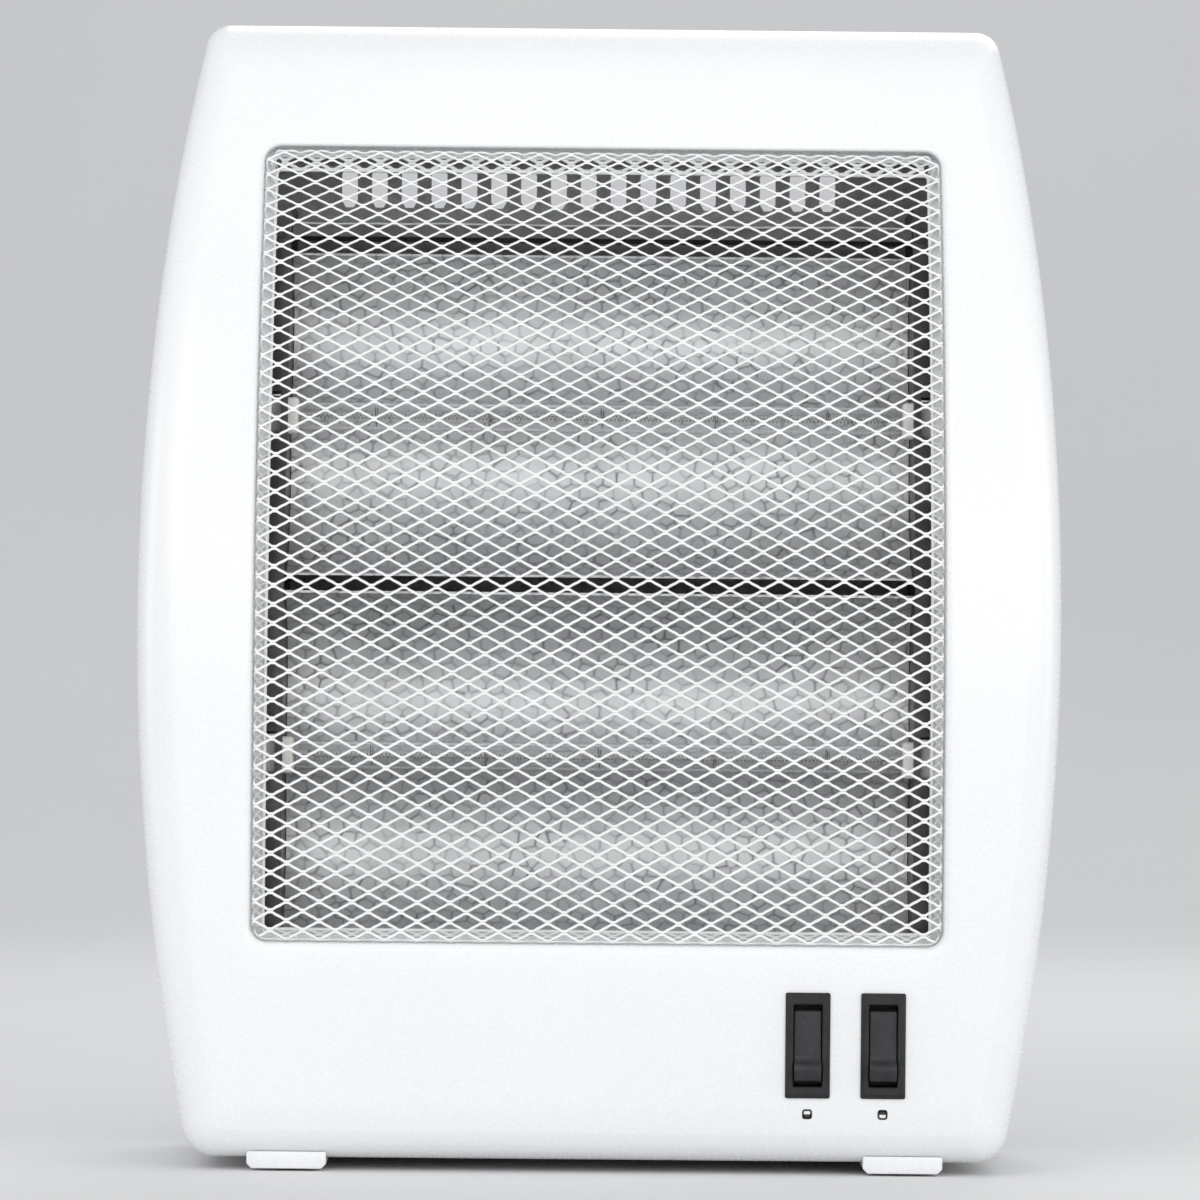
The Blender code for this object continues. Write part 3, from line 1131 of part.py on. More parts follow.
def build_spring(material):
    """Coil spring between the plunger's collar and the bracket; prints its least gap."""
    rise = SPRING_LENGTH - SPRING_WIRE
    count = SPRING_CURLS * SPRING_POINTS
    points = []
    for step in range(count + 1):
        angle = 2.0 * math.pi * step / SPRING_POINTS
        points.append(Vector((SPRING_RADIUS * math.cos(angle), PLUNGER_Y + SPRING_RADIUS * math.sin(angle),
                              spring_base() + SPRING_WIRE / 2.0 + rise * step / count)))
    least = min((first - second).length
                for index, first in enumerate(points)
                for second in points[index + SPRING_POINTS // 2:])
    print("tip_spring least gap to itself, mm:", round((least - SPRING_WIRE) * 1000.0, 2))
    add_tube("tip_spring", points, SPRING_WIRE / 2.0, material)


def build_bracket(material):
    """Bent bracket over the plunger, with an upright tab that carries the switch."""
    top = bracket_top()
    foot = FLOOR_Z + CLEARANCE + BRACKET_SHEET
    half = BRACKET_HALF_SPAN
    reach = half + BRACKET_FOOT
    line = [(-reach, foot), (-half, foot), (-half, top), (half, top), (half, foot), (reach, foot)]
    low_y = PLUNGER_Y - BRACKET_WIDTH / 2.0
    high_y = PLUNGER_Y + BRACKET_WIDTH / 2.0
    bm = bmesh.new()
    add_prism(bm, sheet_outline(line, -BRACKET_SHEET), low_y, high_y, "Y")
    bracket = make_object("tip_switch_bracket", bm, material)
    tab_y = PLUNGER_Y + TIP_BODY[1] / 2.0 + CLEARANCE
    tab = bmesh.new()
    add_box(tab, (-half + CLEARANCE, tab_y, top - BRACKET_SHEET / 2.0),
            (TIP_BODY_X + TIP_BODY[0], tab_y + BRACKET_SHEET, tip_body_bottom() + TIP_BODY[2]))
    apply_tool(bracket, "tool_bracket_tab", tab, "UNION")
    hole = bmesh.new()
    add_rod(hole, (0.0, PLUNGER_Y, top - 2.0 * BRACKET_SHEET), (0, 0, 1), 3.0 * BRACKET_SHEET,
            PLUNGER_SHAFT_RADIUS + CLEARANCE)
    apply_tool(bracket, "tool_bracket_hole", hole, "DIFFERENCE")


def build_tip_switch(body_material, lever_material):
    """Small switch with two blades on top, and a lever hinged between two ears under it."""
    low = tip_body_bottom()
    half = TIP_BODY[1] / 2.0
    bm = bmesh.new()
    add_box(bm, (TIP_BODY_X, PLUNGER_Y - half, low),
            (TIP_BODY_X + TIP_BODY[0], PLUNGER_Y + half, low + TIP_BODY[2]))
    body = make_object("tip_switch_body", bm, body_material, smooth=False)
    pin_z = low - LEVER_DROP - LEVER_SHEET / 2.0
    ear_inner = LEVER_WIDTH / 2.0 + CLEARANCE
    ear_reach = 2.0 * LEVER_PIN_RADIUS + CLEARANCE
    ears = bmesh.new()
    for side in (-1.0, 1.0):
        near = PLUNGER_Y + side * ear_inner
        far = PLUNGER_Y + side * half
        add_box(ears, (LEVER_HINGE_X - ear_reach, min(near, far), pin_z - ear_reach),
                (LEVER_HINGE_X + ear_reach, max(near, far), low + LEVER_DROP))
    for x in TIP_BLADES_X:
        add_box(ears, (x - TIP_BLADE[0] / 2.0, PLUNGER_Y - TIP_BLADE[1] / 2.0, low + TIP_BODY[2] - LEVER_DROP),
                (x + TIP_BLADE[0] / 2.0, PLUNGER_Y + TIP_BLADE[1] / 2.0, low + TIP_BODY[2] + TIP_BLADE[2]))
    apply_tool(body, "tool_tip_switch_ears", ears, "UNION")
    bore = bmesh.new()
    bore_half = half + CLEARANCE
    add_rod(bore, (LEVER_HINGE_X, PLUNGER_Y - bore_half, pin_z), (0, 1, 0), 2.0 * bore_half,
            LEVER_PIN_RADIUS + CLEARANCE, SMALL_SIDES)
    apply_tool(body, "tool_tip_switch_bore", bore, "DIFFERENCE")

    strip = bmesh.new()
    add_box(strip, (LEVER_HINGE_X, PLUNGER_Y - LEVER_WIDTH / 2.0, pin_z - LEVER_SHEET / 2.0),
            (LEVER_TIP_X, PLUNGER_Y + LEVER_WIDTH / 2.0, pin_z + LEVER_SHEET / 2.0))
    lever = make_object("tip_switch_lever", strip, lever_material, smooth=False)
    pin = bmesh.new()
    pin_half = ear_inner + LEVER_PIN_REACH
    add_rod(pin, (LEVER_HINGE_X, PLUNGER_Y - pin_half, pin_z), (0, 1, 0), 2.0 * pin_half,
            LEVER_PIN_RADIUS, SMALL_SIDES)
    apply_tool(lever, "tool_tip_lever_pin", pin, "UNION")
    set_origin(lever, (LEVER_HINGE_X, PLUNGER_Y, pin_z))


# Wiring

def add_tube(name, points, radius, material):
    """Adds a round tube with closed ends along a line of points."""
    curve = bpy.data.curves.new(name, "CURVE")
    curve.dimensions = "3D"
    curve.bevel_depth = radius
    curve.bevel_resolution = TUBE_RESOLUTION
    curve.use_fill_caps = True
    curve.resolution_u = 1
    curve.materials.append(material)
    spline = curve.splines.new("POLY")
    spline.points.add(len(points) - 1)
    for target, point in zip(spline.points, points):
        target.co = (*point, 1.0)
    item = bpy.data.objects.new(name, curve)
    bpy.context.scene.collection.objects.link(item)
    return item


def smooth_route(route, step):
    """Returns points on a smooth curve through a route, whose first and last spans stay straight."""
    route = [Vector(point) for point in route]
    spans_by_level = (((0, 1), (1, 2), (2, 3)), ((0, 2), (1, 3)), ((1, 2),))
    fine = []
    for corners in zip(route, route[1:], route[2:], route[3:]):
        knots = [0.0]
        for first, second in zip(corners, corners[1:]):
            knots.append(knots[-1] + max((second - first).length, EPSILON) ** 0.5)
        for index in range(CURVE_STEPS):
            t = knots[1] + (knots[2] - knots[1]) * index / CURVE_STEPS
            pieces = corners
            for spans in spans_by_level:
                pieces = [first.lerp(second, (t - knots[low]) / (knots[high] - knots[low]))
                          for first, second, (low, high) in zip(pieces, pieces[1:], spans)]
            fine.append(pieces[0])
    fine.append(route[-2])
    length = sum((second - first).length for first, second in zip(fine, fine[1:]))
    count = max(2, round(length / step))
    spaced = [fine[0]]
    travelled = 0.0
    for first, second in zip(fine, fine[1:]):
        run = (second - first).length
        while len(spaced) < count and travelled + run >= length * len(spaced) / count:
            share = (length * len(spaced) / count - travelled) / run
            spaced.append(first.lerp(second, share))
        travelled += run
    return [route[0]] + spaced + [route[-2], route[-1]]


def terminal_cell_x(index):
    """Returns X of a cell of the terminal block."""
    cell = (TERMINAL_BLOCK[0] - TERMINAL_BARRIER) / TERMINAL_CELLS
    return TERMINAL_X + (index - (TERMINAL_CELLS - 1) / 2.0) * cell


def build_terminal_block(material):
    """Terminal block with barriers between its cells and a wire bore through each cell."""
    length, width, height = TERMINAL_BLOCK
    low = FLOOR_Z + CLEARANCE
    half_barrier = TERMINAL_BARRIER / 2.0
    cell = (length - TERMINAL_BARRIER) / TERMINAL_CELLS
    outline = [(TERMINAL_X + length / 2.0, low), (TERMINAL_X - length / 2.0, low)]
    for index in range(TERMINAL_CELLS + 1):
        x = TERMINAL_X - length / 2.0 + half_barrier + index * cell
        if index > 0:
            outline.append((x - half_barrier, low + height - TERMINAL_GROOVE))
        outline += [(x - half_barrier, low + height), (x + half_barrier, low + height)]
        if index < TERMINAL_CELLS:
            outline.append((x + half_barrier, low + height - TERMINAL_GROOVE))
    bm = bmesh.new()
    add_prism(bm, outline, TERMINAL_Y - width / 2.0, TERMINAL_Y + width / 2.0, "Y")
    block = make_object("terminal_block", bm, material, smooth=False)
    bores = bmesh.new()
    for index in range(TERMINAL_CELLS):
        add_rod(bores, (terminal_cell_x(index), TERMINAL_Y - width, low + TERMINAL_BORE_Z), (0, 1, 0),
                2.0 * width, TERMINAL_BORE, SMALL_SIDES)
    apply_tool(block, "tool_terminal_bores", bores, "DIFFERENCE")


def build_gland(material):
    """Grommet of the cord inlet, whose groove holds the rear cover."""
    lip = GLAND_HOLE_RADIUS + GLAND_LIP
    neck = GLAND_HOLE_RADIUS - CLEARANCE
    groove = COVER_SHEET + 2.0 * CLEARANCE
    thick = GLAND_LIP
    bore = GLAND_BORE_RADIUS
    profile = ((bore, 0.0), (lip - CLEARANCE, 0.0), (lip, thick / 2.0), (lip, thick), (neck, thick),
               (neck, thick + groove), (lip, thick + groove), (lip - 2.0 * CLEARANCE, 2.0 * thick + groove),
               (bore, 2.0 * thick + groove))
    bm = bmesh.new()
    add_turned(bm, profile, (GLAND_X, COVER_Y + CLEARANCE + thick, GLAND_Z), (0, -1, 0), closed=True)
    make_object("cord_gland", bm, material)


def build_leads(material):
    """Leads between the terminal block, the tip-over switch, the rocker switches and the lamps."""
    bore_z = FLOOR_Z + CLEARANCE + TERMINAL_BORE_Z
    block_front = TERMINAL_Y - TERMINAL_BLOCK[1] / 2.0 + WALL
    block_rear = TERMINAL_Y + TERMINAL_BLOCK[1] / 2.0 - WALL
    blade_y = switch_blade_end() + CLEARANCE
    blades = [SWITCH_Z + step * SWITCH_BLADE_PITCH for step in (-1, 0, 1)]
    tip_top = tip_body_bottom() + TIP_BODY[2] + TIP_BLADE[2] + CLEARANCE
    cap_end = TUBE_HALF + 2.0 * CLEARANCE + CAP_LENGTH
    low_y, low_z = lamp_place(False)
    high_y, high_z = lamp_place(True)
    left, right = SWITCH_X
    cells = [terminal_cell_x(index) for index in range(TERMINAL_CELLS)]
    beside = cap_end + LEAD_STUB
    stub, sweep = LEAD_STUB, LEAD_SWEEP
    bay_y = blade_y + stub + sweep
    duct_y = blade_y + 3.0 * sweep
    tip_in, tip_out = TIP_BLADES_X
    routes = {
        "lead_tip_in": (
            (cells[2], block_front, bore_z), (cells[2], block_front - 2.0 * stub, bore_z),
            (cells[2] + stub, block_front - stub - sweep, bore_z + 2.0 * stub),
            (tip_in - 2.0 * sweep, PLUNGER_Y - sweep, tip_top),
            (tip_in, PLUNGER_Y, tip_top + stub), (tip_in, PLUNGER_Y, tip_top)),
        "lead_tip_out": (
            (tip_out, PLUNGER_Y, tip_top), (tip_out, PLUNGER_Y, tip_top + stub),
            (tip_out + stub + sweep, PLUNGER_Y - sweep, tip_top),
            (left - 2.0 * sweep, bay_y + stub, blades[1]), (left, blade_y + sweep, blades[1]),
            (left, blade_y, blades[1])),
        "lead_switch_link": (
            (left, blade_y, blades[0]), (left, blade_y + 2.0 * stub, blades[0]),
            ((left + right) / 2.0, bay_y, blades[0] - stub),
            (right, blade_y + 2.0 * stub, blades[0]), (right, blade_y, blades[0])),
        "lead_lamp_lower_right": (
            (left, blade_y, blades[2]), (left, blade_y + 2.0 * stub, blades[2]),
            (right - stub, bay_y, blades[2] - stub), (beside - stub, bay_y, blades[2]),
            (beside, blade_y + 2.0 * stub, PLATE_BOTTOM_Z + 2.0 * sweep), (beside, low_y, low_z - sweep),
            (beside, low_y, low_z), (cap_end, low_y, low_z)),
        "lead_lamp_upper_right": (
            (right, blade_y, blades[2]), (right, blade_y + sweep, blades[2]),
            (right + sweep, duct_y, blades[2]), (beside, duct_y, PLATE_BOTTOM_Z),
            (beside, duct_y, low_z - 2.0 * sweep), (beside, high_y + sweep, UPPER_BOTTOM_Z - sweep),
            (beside, high_y, high_z - sweep), (beside, high_y, high_z), (cap_end, high_y, high_z)),
        "lead_lamp_lower_left": (
            (-cap_end, low_y, low_z), (-beside, low_y, low_z), (-beside, low_y, low_z - sweep),
            (-beside, blade_y + 2.0 * stub, PLATE_BOTTOM_Z + 2.0 * sweep),
            (2.0 * stub - beside, blade_y + sweep, blades[2]), (GLAND_X, bay_y, GLAND_Z - stub),
            (cells[0], block_front - stub - sweep, bore_z), (cells[0], block_front, bore_z)),
        "lead_lamp_upper_left": (
            (-cap_end, high_y, high_z), (-beside, high_y, high_z), (-beside, high_y, high_z - sweep),
            (-beside, high_y + sweep, UPPER_BOTTOM_Z - sweep), (-beside, duct_y + stub, low_z - 2.0 * sweep),
            (stub - beside, duct_y + sweep, PLATE_BOTTOM_Z),
            (GLAND_X - 2.0 * stub, duct_y + 2.0 * sweep + stub, GLAND_Z + 2.0 * stub),
            (GLAND_X + sweep, duct_y + 2.0 * (sweep + stub), bore_z + stub),
            (cells[1], block_rear + sweep, bore_z), (cells[1], block_rear, bore_z)),
    }
    for name, route in routes.items():
        add_tube(name, smooth_route(route, LEAD_STEP), LEAD_RADIUS, material)


# Screws

def add_screw(name, seat, direction, material, head=SCREW_HEAD_HEIGHT):
    """Adds a pan-head screw whose head rests on a seat; direction points from head to tip."""
    profile = ((SCREW_HEAD_RADIUS * 0.7, -head), (SCREW_HEAD_RADIUS, -head * 0.5), (SCREW_HEAD_RADIUS, 0.0),
               (SCREW_RADIUS, 0.0), (SCREW_RADIUS * 0.7, SCREW_LENGTH))
    bm = bmesh.new()
    add_turned(bm, profile, seat, direction, SMALL_SIDES)
    make_object(name, bm, material)


def build_screws(material):
    """Screws of the rear cover, the side plates and the feet."""
    for index, (x, z) in enumerate(rear_boss_places()):
        add_screw("rear_screw_" + str(index + 1), (x, COVER_Y + CLEARANCE, z), (0, -1, 0), material)
    for name, side in SIDES:
        for level, height in zip(("lower", "upper"), POST_Z):
            direction = post_direction(height)
            seat = Vector((side * POST_X, flange_point(height), height))
            seat -= direction * (PLATE_SHEET + CLEARANCE)
            add_screw("plate_screw_" + level + "_" + name, seat, direction, material)
    for index, (x, y) in enumerate(foot_screw_places()):
        seat = (x, y, FOOT_BOTTOM_Z + FOOT_SCREW_HEAD)
        add_screw("foot_screw_" + str(index + 1), seat, (0, 0, 1), material, FOOT_SCREW_HEAD)


def main():
    """Builds the whole heater."""
    clear_scene()
    white_plastic = make_material("white_plastic", (0.90, 0.91, 0.91), 0.32)
    white_metal = make_material("white_metal", (0.86, 0.87, 0.87), 0.38)
    grey_metal = make_material("grey_metal", (0.60, 0.61, 0.62), 0.45)
    aluminium = make_material("aluminium", (0.78, 0.79, 0.80), 0.22, 1.0)
    zinc = make_material("zinc", (0.55, 0.56, 0.58), 0.40, 1.0)
    quartz = make_material("quartz", (0.95, 0.97, 1.0), 0.05, 0.0, 0.25)
    tungsten = make_material("tungsten", (0.40, 0.38, 0.36), 0.40, 1.0)
    ceramic = make_material("ceramic", (0.92, 0.91, 0.88), 0.60)
    black_plastic = make_material("black_plastic", (0.022, 0.024, 0.026), 0.42)
    rubber = make_material("rubber", (0.03, 0.03, 0.03), 0.85)
    steel = make_material("steel", (0.62, 0.62, 0.64), 0.30, 1.0)
    insulation = make_material("insulation", (0.85, 0.83, 0.78), 0.60)
    natural_plastic = make_material("natural_plastic", (0.82, 0.80, 0.72), 0.50)

    build_front_panel(white_plastic)
    build_rear_cover(grey_metal)
    build_grille(white_metal)
    build_reflector("reflector_lower", False, aluminium)
    build_reflector("reflector_upper", True, aluminium)
    for name, side in SIDES:
        build_side_plate("side_plate_" + name, side, zinc)
        build_foot(name, side, white_plastic, rubber)
    build_shields(zinc)
    build_lamp("lower", False, quartz, tungsten, ceramic, steel)
    build_lamp("upper", True, quartz, tungsten, ceramic, steel)
    for name, x in zip(("left", "right"), SWITCH_X):
        build_switch(name, x, black_plastic, black_plastic)
    build_plunger(natural_plastic)
    build_spring(steel)
    build_bracket(zinc)
    build_tip_switch(black_plastic, steel)
    build_terminal_block(natural_plastic)
    build_gland(rubber)
    build_leads(insulation)
    build_screws(steel)


main()
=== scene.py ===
import json
import math

import bmesh
import bpy
import numpy as np
from mathutils import Matrix, Vector


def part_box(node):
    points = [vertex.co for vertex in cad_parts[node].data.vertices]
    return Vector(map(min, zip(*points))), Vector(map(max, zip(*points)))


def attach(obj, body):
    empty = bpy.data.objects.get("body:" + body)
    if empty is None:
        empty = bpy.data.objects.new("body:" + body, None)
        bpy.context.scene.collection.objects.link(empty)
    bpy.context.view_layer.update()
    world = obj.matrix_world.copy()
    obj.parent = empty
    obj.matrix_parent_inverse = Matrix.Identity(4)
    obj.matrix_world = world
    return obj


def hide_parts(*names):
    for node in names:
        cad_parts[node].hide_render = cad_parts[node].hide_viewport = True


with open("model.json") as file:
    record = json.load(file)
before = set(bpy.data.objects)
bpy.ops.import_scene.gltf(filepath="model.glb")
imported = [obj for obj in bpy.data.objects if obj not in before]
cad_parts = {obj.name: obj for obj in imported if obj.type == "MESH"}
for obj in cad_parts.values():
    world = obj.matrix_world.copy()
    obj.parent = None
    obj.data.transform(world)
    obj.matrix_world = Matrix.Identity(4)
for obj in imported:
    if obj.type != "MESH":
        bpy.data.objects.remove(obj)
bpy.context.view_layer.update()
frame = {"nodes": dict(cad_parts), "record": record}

# Casing, in metres; the sizes of the solid are the part's own
FRONT_Y = -0.062
CASE_BOTTOM_Z = 0.004
CASE_TOP_Z = 0.3828
HALF_WIDTH = 0.1516
WIDEST_Z = 0.1834
SIDE_RADIUS_UPPER = 1.120
SIDE_RADIUS_LOWER = 0.890
BOW_START_Z = 0.1514
BOW_SETBACK = 0.0909
BOW_RADIUS = ((CASE_TOP_Z - BOW_START_Z) ** 2 + BOW_SETBACK ** 2) / (2.0 * BOW_SETBACK)
CORNER_RADIUS_TOP = 0.0065
CORNER_RADIUS_BOTTOM = 0.009
WALL = 0.0024
CLEARANCE = 0.0003
BAND_SIDE = 0.0118
BAND_TOP = 0.017
BAND_BOTTOM = 0.010
BAND_DEPTH = 0.013
BAND_PROFILE = ((0.0, 1.0), (0.04, 0.72), (0.14, 0.50), (0.32, 0.30), (0.60, 0.13), (1.0, 0.0))
WINDOW_HALF = 0.1130
WINDOW_BOTTOM_Z = 0.0749
WINDOW_TOP_Z = 0.3384
WINDOW_CORNER = 0.0055
WINDOW_ROLL = 0.0028
LIP_DEPTH = 0.0042
RETURN_DEPTH = 0.0094
RETURN_WIDTH = 0.0034
RETURN_WALL = 0.0011
REAR_EDGE = 0.0004
PLUNGER_Y = 0.018
PLUNGER_HOLE = 0.0033
PLUNGER_HOLE_TOP = 0.012
SWITCH_HOLE_HALF = (0.0065, 0.0145)
SWITCH_HOLE_AHEAD = 0.004
SWITCH_HOLE_BEHIND = 0.006

# Counts of steps along the casing's rows and loops
SIDE_STEPS = 44
CORNER_STEPS = 10
BAND_STEPS = 26
BAND_EASE = 2.2
FACE_STEPS = 6
ROLL_STEPS = 8
INNER_BAND_SHARES = (1.0, 0.6, 0.32, 0.14, 0.04, 0.0)

# Grille
DIAMOND_WIDTH = 0.01065
DIAMOND_HEIGHT = 0.00625
GRILLE_SETBACK = 0.0008
GRILLE_FOLD = 0.0075
GRILLE_DRAW_IN = 0.0030
GRILLE_BEND = 0.0009
STRAND_WIDTH = 0.00088
STRAND_THICKNESS = 0.00055
STRAND_TILT = math.radians(24.0)
STRAND_WAVE = 0.035
STRAND_SECTION = ((-0.5, -0.28), (-0.5, 0.28), (-0.2, 0.5), (0.2, 0.5), (0.5, 0.28), (0.5, -0.28),
                  (0.2, -0.5), (-0.2, -0.5))
BOND_LENGTH = 0.0014
BOND_OVERLAP = 0.94
FOLD_RADIUS = 0.00062
FOLD_SIDES = 10

# Reflectors
HEM_RADIUS = 0.00042
REFLECTOR_HALF = 0.1036
REFLECTOR_LIP = 0.0008
LOWER_SPAN = (0.0749, 0.1347, 0.1897)
UPPER_SPAN = (0.1948, 0.2501, 0.3030)
UPPER_LEAN = math.radians(17.0)
CUSP_BEHIND_FACE = 0.0420
FLANGE_BEHIND_FACE = 0.0200
TROUGH_BULGE = 0.0160
EDGE_AHEAD_OF_CUSP = 0.0130
REFLECTOR_SHEET = 0.0005
SKIN_INSET = 0.00002
TROUGH_STEPS = 130
REFLECTOR_COLUMNS = 500
DIMPLE_PITCH = 0.0055
DIMPLE_ROW = DIMPLE_PITCH * 0.866
DIMPLE_JITTER = 0.16 * DIMPLE_PITCH
DIMPLE_TIP = 0.007
CREASE_WIDTH = 0.00066
CREASE_DEPTH = 0.00015
# CREASE_SHADE is how strongly painted shade darkens the sheet's colour in the creases
CREASE_SHADE = 0.85
PLAIN_MARGIN = 0.002
BATCH = 4000

# Lamps
COIL_RADIUS = 0.0008
COIL_WIRE = 0.00012
COIL_TURNS = 150
COIL_END = 0.006
LEAD_WIRE = 0.00035
LEAD_INSET = 0.0004
SUPPORT_COUNT = 5
SUPPORT_WIRE = 0.00011
SUPPORT_RADIUS = 0.0033
SUPPORT_TAPER = 0.0023
SUPPORT_PITCH = 0.00012
TUBE_WALL = 0.0010
TUBE_LIP = 0.0003
CAP_ROUND = 0.0014
CAP_SLOT_HALF = 0.0022
CAP_SLOT_LENGTH = 0.0035
OVERCUT = 0.001

# Switches
SWITCH_X = {"left": 0.0691, "right": 0.0937}
SWITCH_Z = 0.0428
BEZEL_WIDTH = 0.0146
BEZEL_HEIGHT = 0.0344
BEZEL_PROUD = 0.0018
ROCKER_PROUD = 0.004
ROCKER_WIDTH = 0.0088
ROCKER_HALF_HEIGHT = 0.0115
ROCKER_AXIS_DEPTH = 0.0045
ROCKER_DEPTH = 0.006
ROCKER_EDGE = 0.00025
ROCKER_FACE = ((0.985, -0.75), (0.965, -0.58), (0.90, -0.55), (0.30, -0.49), (-0.28, -0.45), (-0.36, -0.43),
               (-0.42, -0.24), (-0.47, 0.15), (-0.52, 0.58), (-0.57, 0.88), (-0.62, 0.99), (-0.70, 0.96),
               (-0.80, 0.84), (-0.90, 0.66), (-0.96, 0.44), (-1.0, 0.14), (-1.02, -0.20), (-1.03, -0.70))
ROCKER_BACK = ((-0.0010, -0.93), (-0.0020, -0.78), (-0.0020, 0.78), (-0.0010, 0.93), (0.0030, 1.02))
PIN_RADIUS = 0.0012
PIN_REACH = 0.0009
RECESS_HEIGHT = 0.0268
RECESS_BEHIND_AXIS = 0.0056
BODY_WIDTH = 0.0124
BODY_HEIGHT = 0.0284
BODY_BEHIND_FACE = 0.0200
BLADE_PITCH = 0.0095
BLADE_HALF_WIDTH = 0.0024
BLADE_HALF_WALL = 0.0004
BLADE_LENGTH = 0.0080
BLADE_HOLE = (0.0008, 0.0055)
MARK_BELOW_SWITCH = 0.0224
MARK_SIZE = 0.0033
MARK_LINE = 0.00064
MARK_CORNERS = (0.0010, 0.0004)
MARK_SKIN = 0.00004

# Feet and screws
FOOT_CHAMFER = 0.0016
FOOT_ROUND = 0.00045
FOOT_SCREW_Y = (-0.028, 0.026)
FOOT_SCREW_HOLE = 0.0017
FOOT_SCREW_SINK = 0.0033
FOOT_SCREW_SEAT = 0.0017
SCREW_RADIUS = 0.0030
SCREW_SHANK = 0.0014
SCREW_HEAD = 0.0018
SHORT_SCREW = 0.0115
SHORT_SCREW_HEAD = 0.0014
THREAD_PITCH = 0.0008
RECESS_HALF = (0.0017, 0.00030)

# Floor, curved backdrop and aim of the lights
FLOOR_FRONT = 4.0
FLOOR_HALF = 5.0
COVE_START = 1.6
COVE_RADIUS = 0.9
WALL_TOP = 4.0
LIGHT_AIM = (0.0, 0.0, 0.18)
LIGHTS = (
    ("key", (-1.1, -2.0, 1.5), (1.4, 1.4), 14.0),
    ("fill", (1.6, -1.8, 0.9), (1.4, 1.4), 11.0),
    ("top", (0.0, -0.2, 1.9), (1.6, 1.2), 4.0),
    ("front", (0.2, -2.9, 0.62), (2.6, 1.8), 22.0),
    ("left", (-2.3, -0.5, 0.6), (0.8, 1.4), 7.0),
    ("right", (2.3, -0.5, 0.6), (0.8, 1.4), 7.0),
    ("rear", (0.3, 1.3, 1.3), (1.2, 0.9), 7.0),
)

# Camera fitted to the photo's outline
PHOTO_PIXELS = 1200.0
FOCAL_PIXELS = 6561.5
SENSOR_WIDTH = 36.0
CAMERA_PLACE = (-0.01215, -2.2, 0.17921)
CAMERA_YAW, CAMERA_PITCH, CAMERA_ROLL = 0.00571, 0.00378, 0.00951


# Materials

def new_material(name):
    """Makes a material and returns it with its node tree, its links and its Principled shader."""
    material = bpy.data.materials.new(name)
    material.use_nodes = True
    return material, *nodes_of(material)


def nodes_of(material):
    """Returns a material's node tree, its links and its Principled shader."""
    tree = material.node_tree
    return tree, tree.links, tree.nodes["Principled BSDF"]


def set_inputs(node, values):
    """Sets a node's inputs by name."""
    for name, value in values.items():
        node.inputs[name].default_value = value


def grain(tree, scale, detail=2.0, roughness=0.5, stretch=None):
    """Adds a noise texture in object coordinates."""
    place = tree.nodes.new("ShaderNodeTexCoord")
    noise = tree.nodes.new("ShaderNodeTexNoise")
    set_inputs(noise, {"Scale": scale, "Detail": detail, "Roughness": roughness})
    source = place.outputs["Object"]
    if stretch:
        mapping = tree.nodes.new("ShaderNodeMapping")
        set_inputs(mapping, {"Scale": stretch})
        tree.links.new(source, mapping.inputs["Vector"])
        source = mapping.outputs["Vector"]
    tree.links.new(source, noise.inputs["Vector"])
    return noise.outputs["Fac"]


def ramp(tree, source, low, high, first, second):
    """Maps a value from low..high to a colour or grey between two stops."""
    node = tree.nodes.new("ShaderNodeValToRGB")
    for stop, position, colour in zip(node.color_ramp.elements, (low, high), (first, second)):
        stop.position = position
        stop.color = (*colour, 1.0)
    tree.links.new(source, node.inputs["Fac"])
    return node.outputs["Color"]


def grey(value):
    """Returns a grey colour."""
    return (value, value, value)


def finish_material(name, colour, second, roughness, spread, fine, bump, metallic=0.0, coarse=14.0,
                    stretch=None, specular=0.5):
    """Makes a material with two mottled colours, an uneven gloss and a fine bump."""
    material, tree, links, shader = new_material(name)
    set_inputs(shader, {"Metallic": metallic, "Specular IOR Level": specular})
    broad = grain(tree, coarse, 3.0, 0.55)
    links.new(ramp(tree, broad, 0.35, 0.65, colour, second), shader.inputs["Base Color"])
    small = grain(tree, fine, 3.0, 0.6, stretch)
    low = grey(max(0.02, roughness - spread))
    high = grey(min(1.0, roughness + spread))
    links.new(ramp(tree, small, 0.3, 0.7, low, high), shader.inputs["Roughness"])
    relief = tree.nodes.new("ShaderNodeBump")
    set_inputs(relief, {"Strength": bump[0], "Distance": bump[1]})
    links.new(small, relief.inputs["Height"])
    links.new(relief.outputs["Normal"], shader.inputs["Normal"])
    return material


def glass_material(name):
    """Clear quartz with faint drawn streaks."""
    material, tree, links, shader = new_material(name)
    set_inputs(shader, {"Transmission Weight": 1.0, "IOR": 1.45})
    streaks = grain(tree, 90.0, 2.0, 0.5, (0.05, 1.0, 1.0))
    links.new(ramp(tree, streaks, 0.35, 0.65, (0.97, 0.98, 0.98), grey(1.0)), shader.inputs["Base Color"])
    links.new(ramp(tree, streaks, 0.3, 0.7, grey(0.01), grey(0.05)), shader.inputs["Roughness"])
    return material


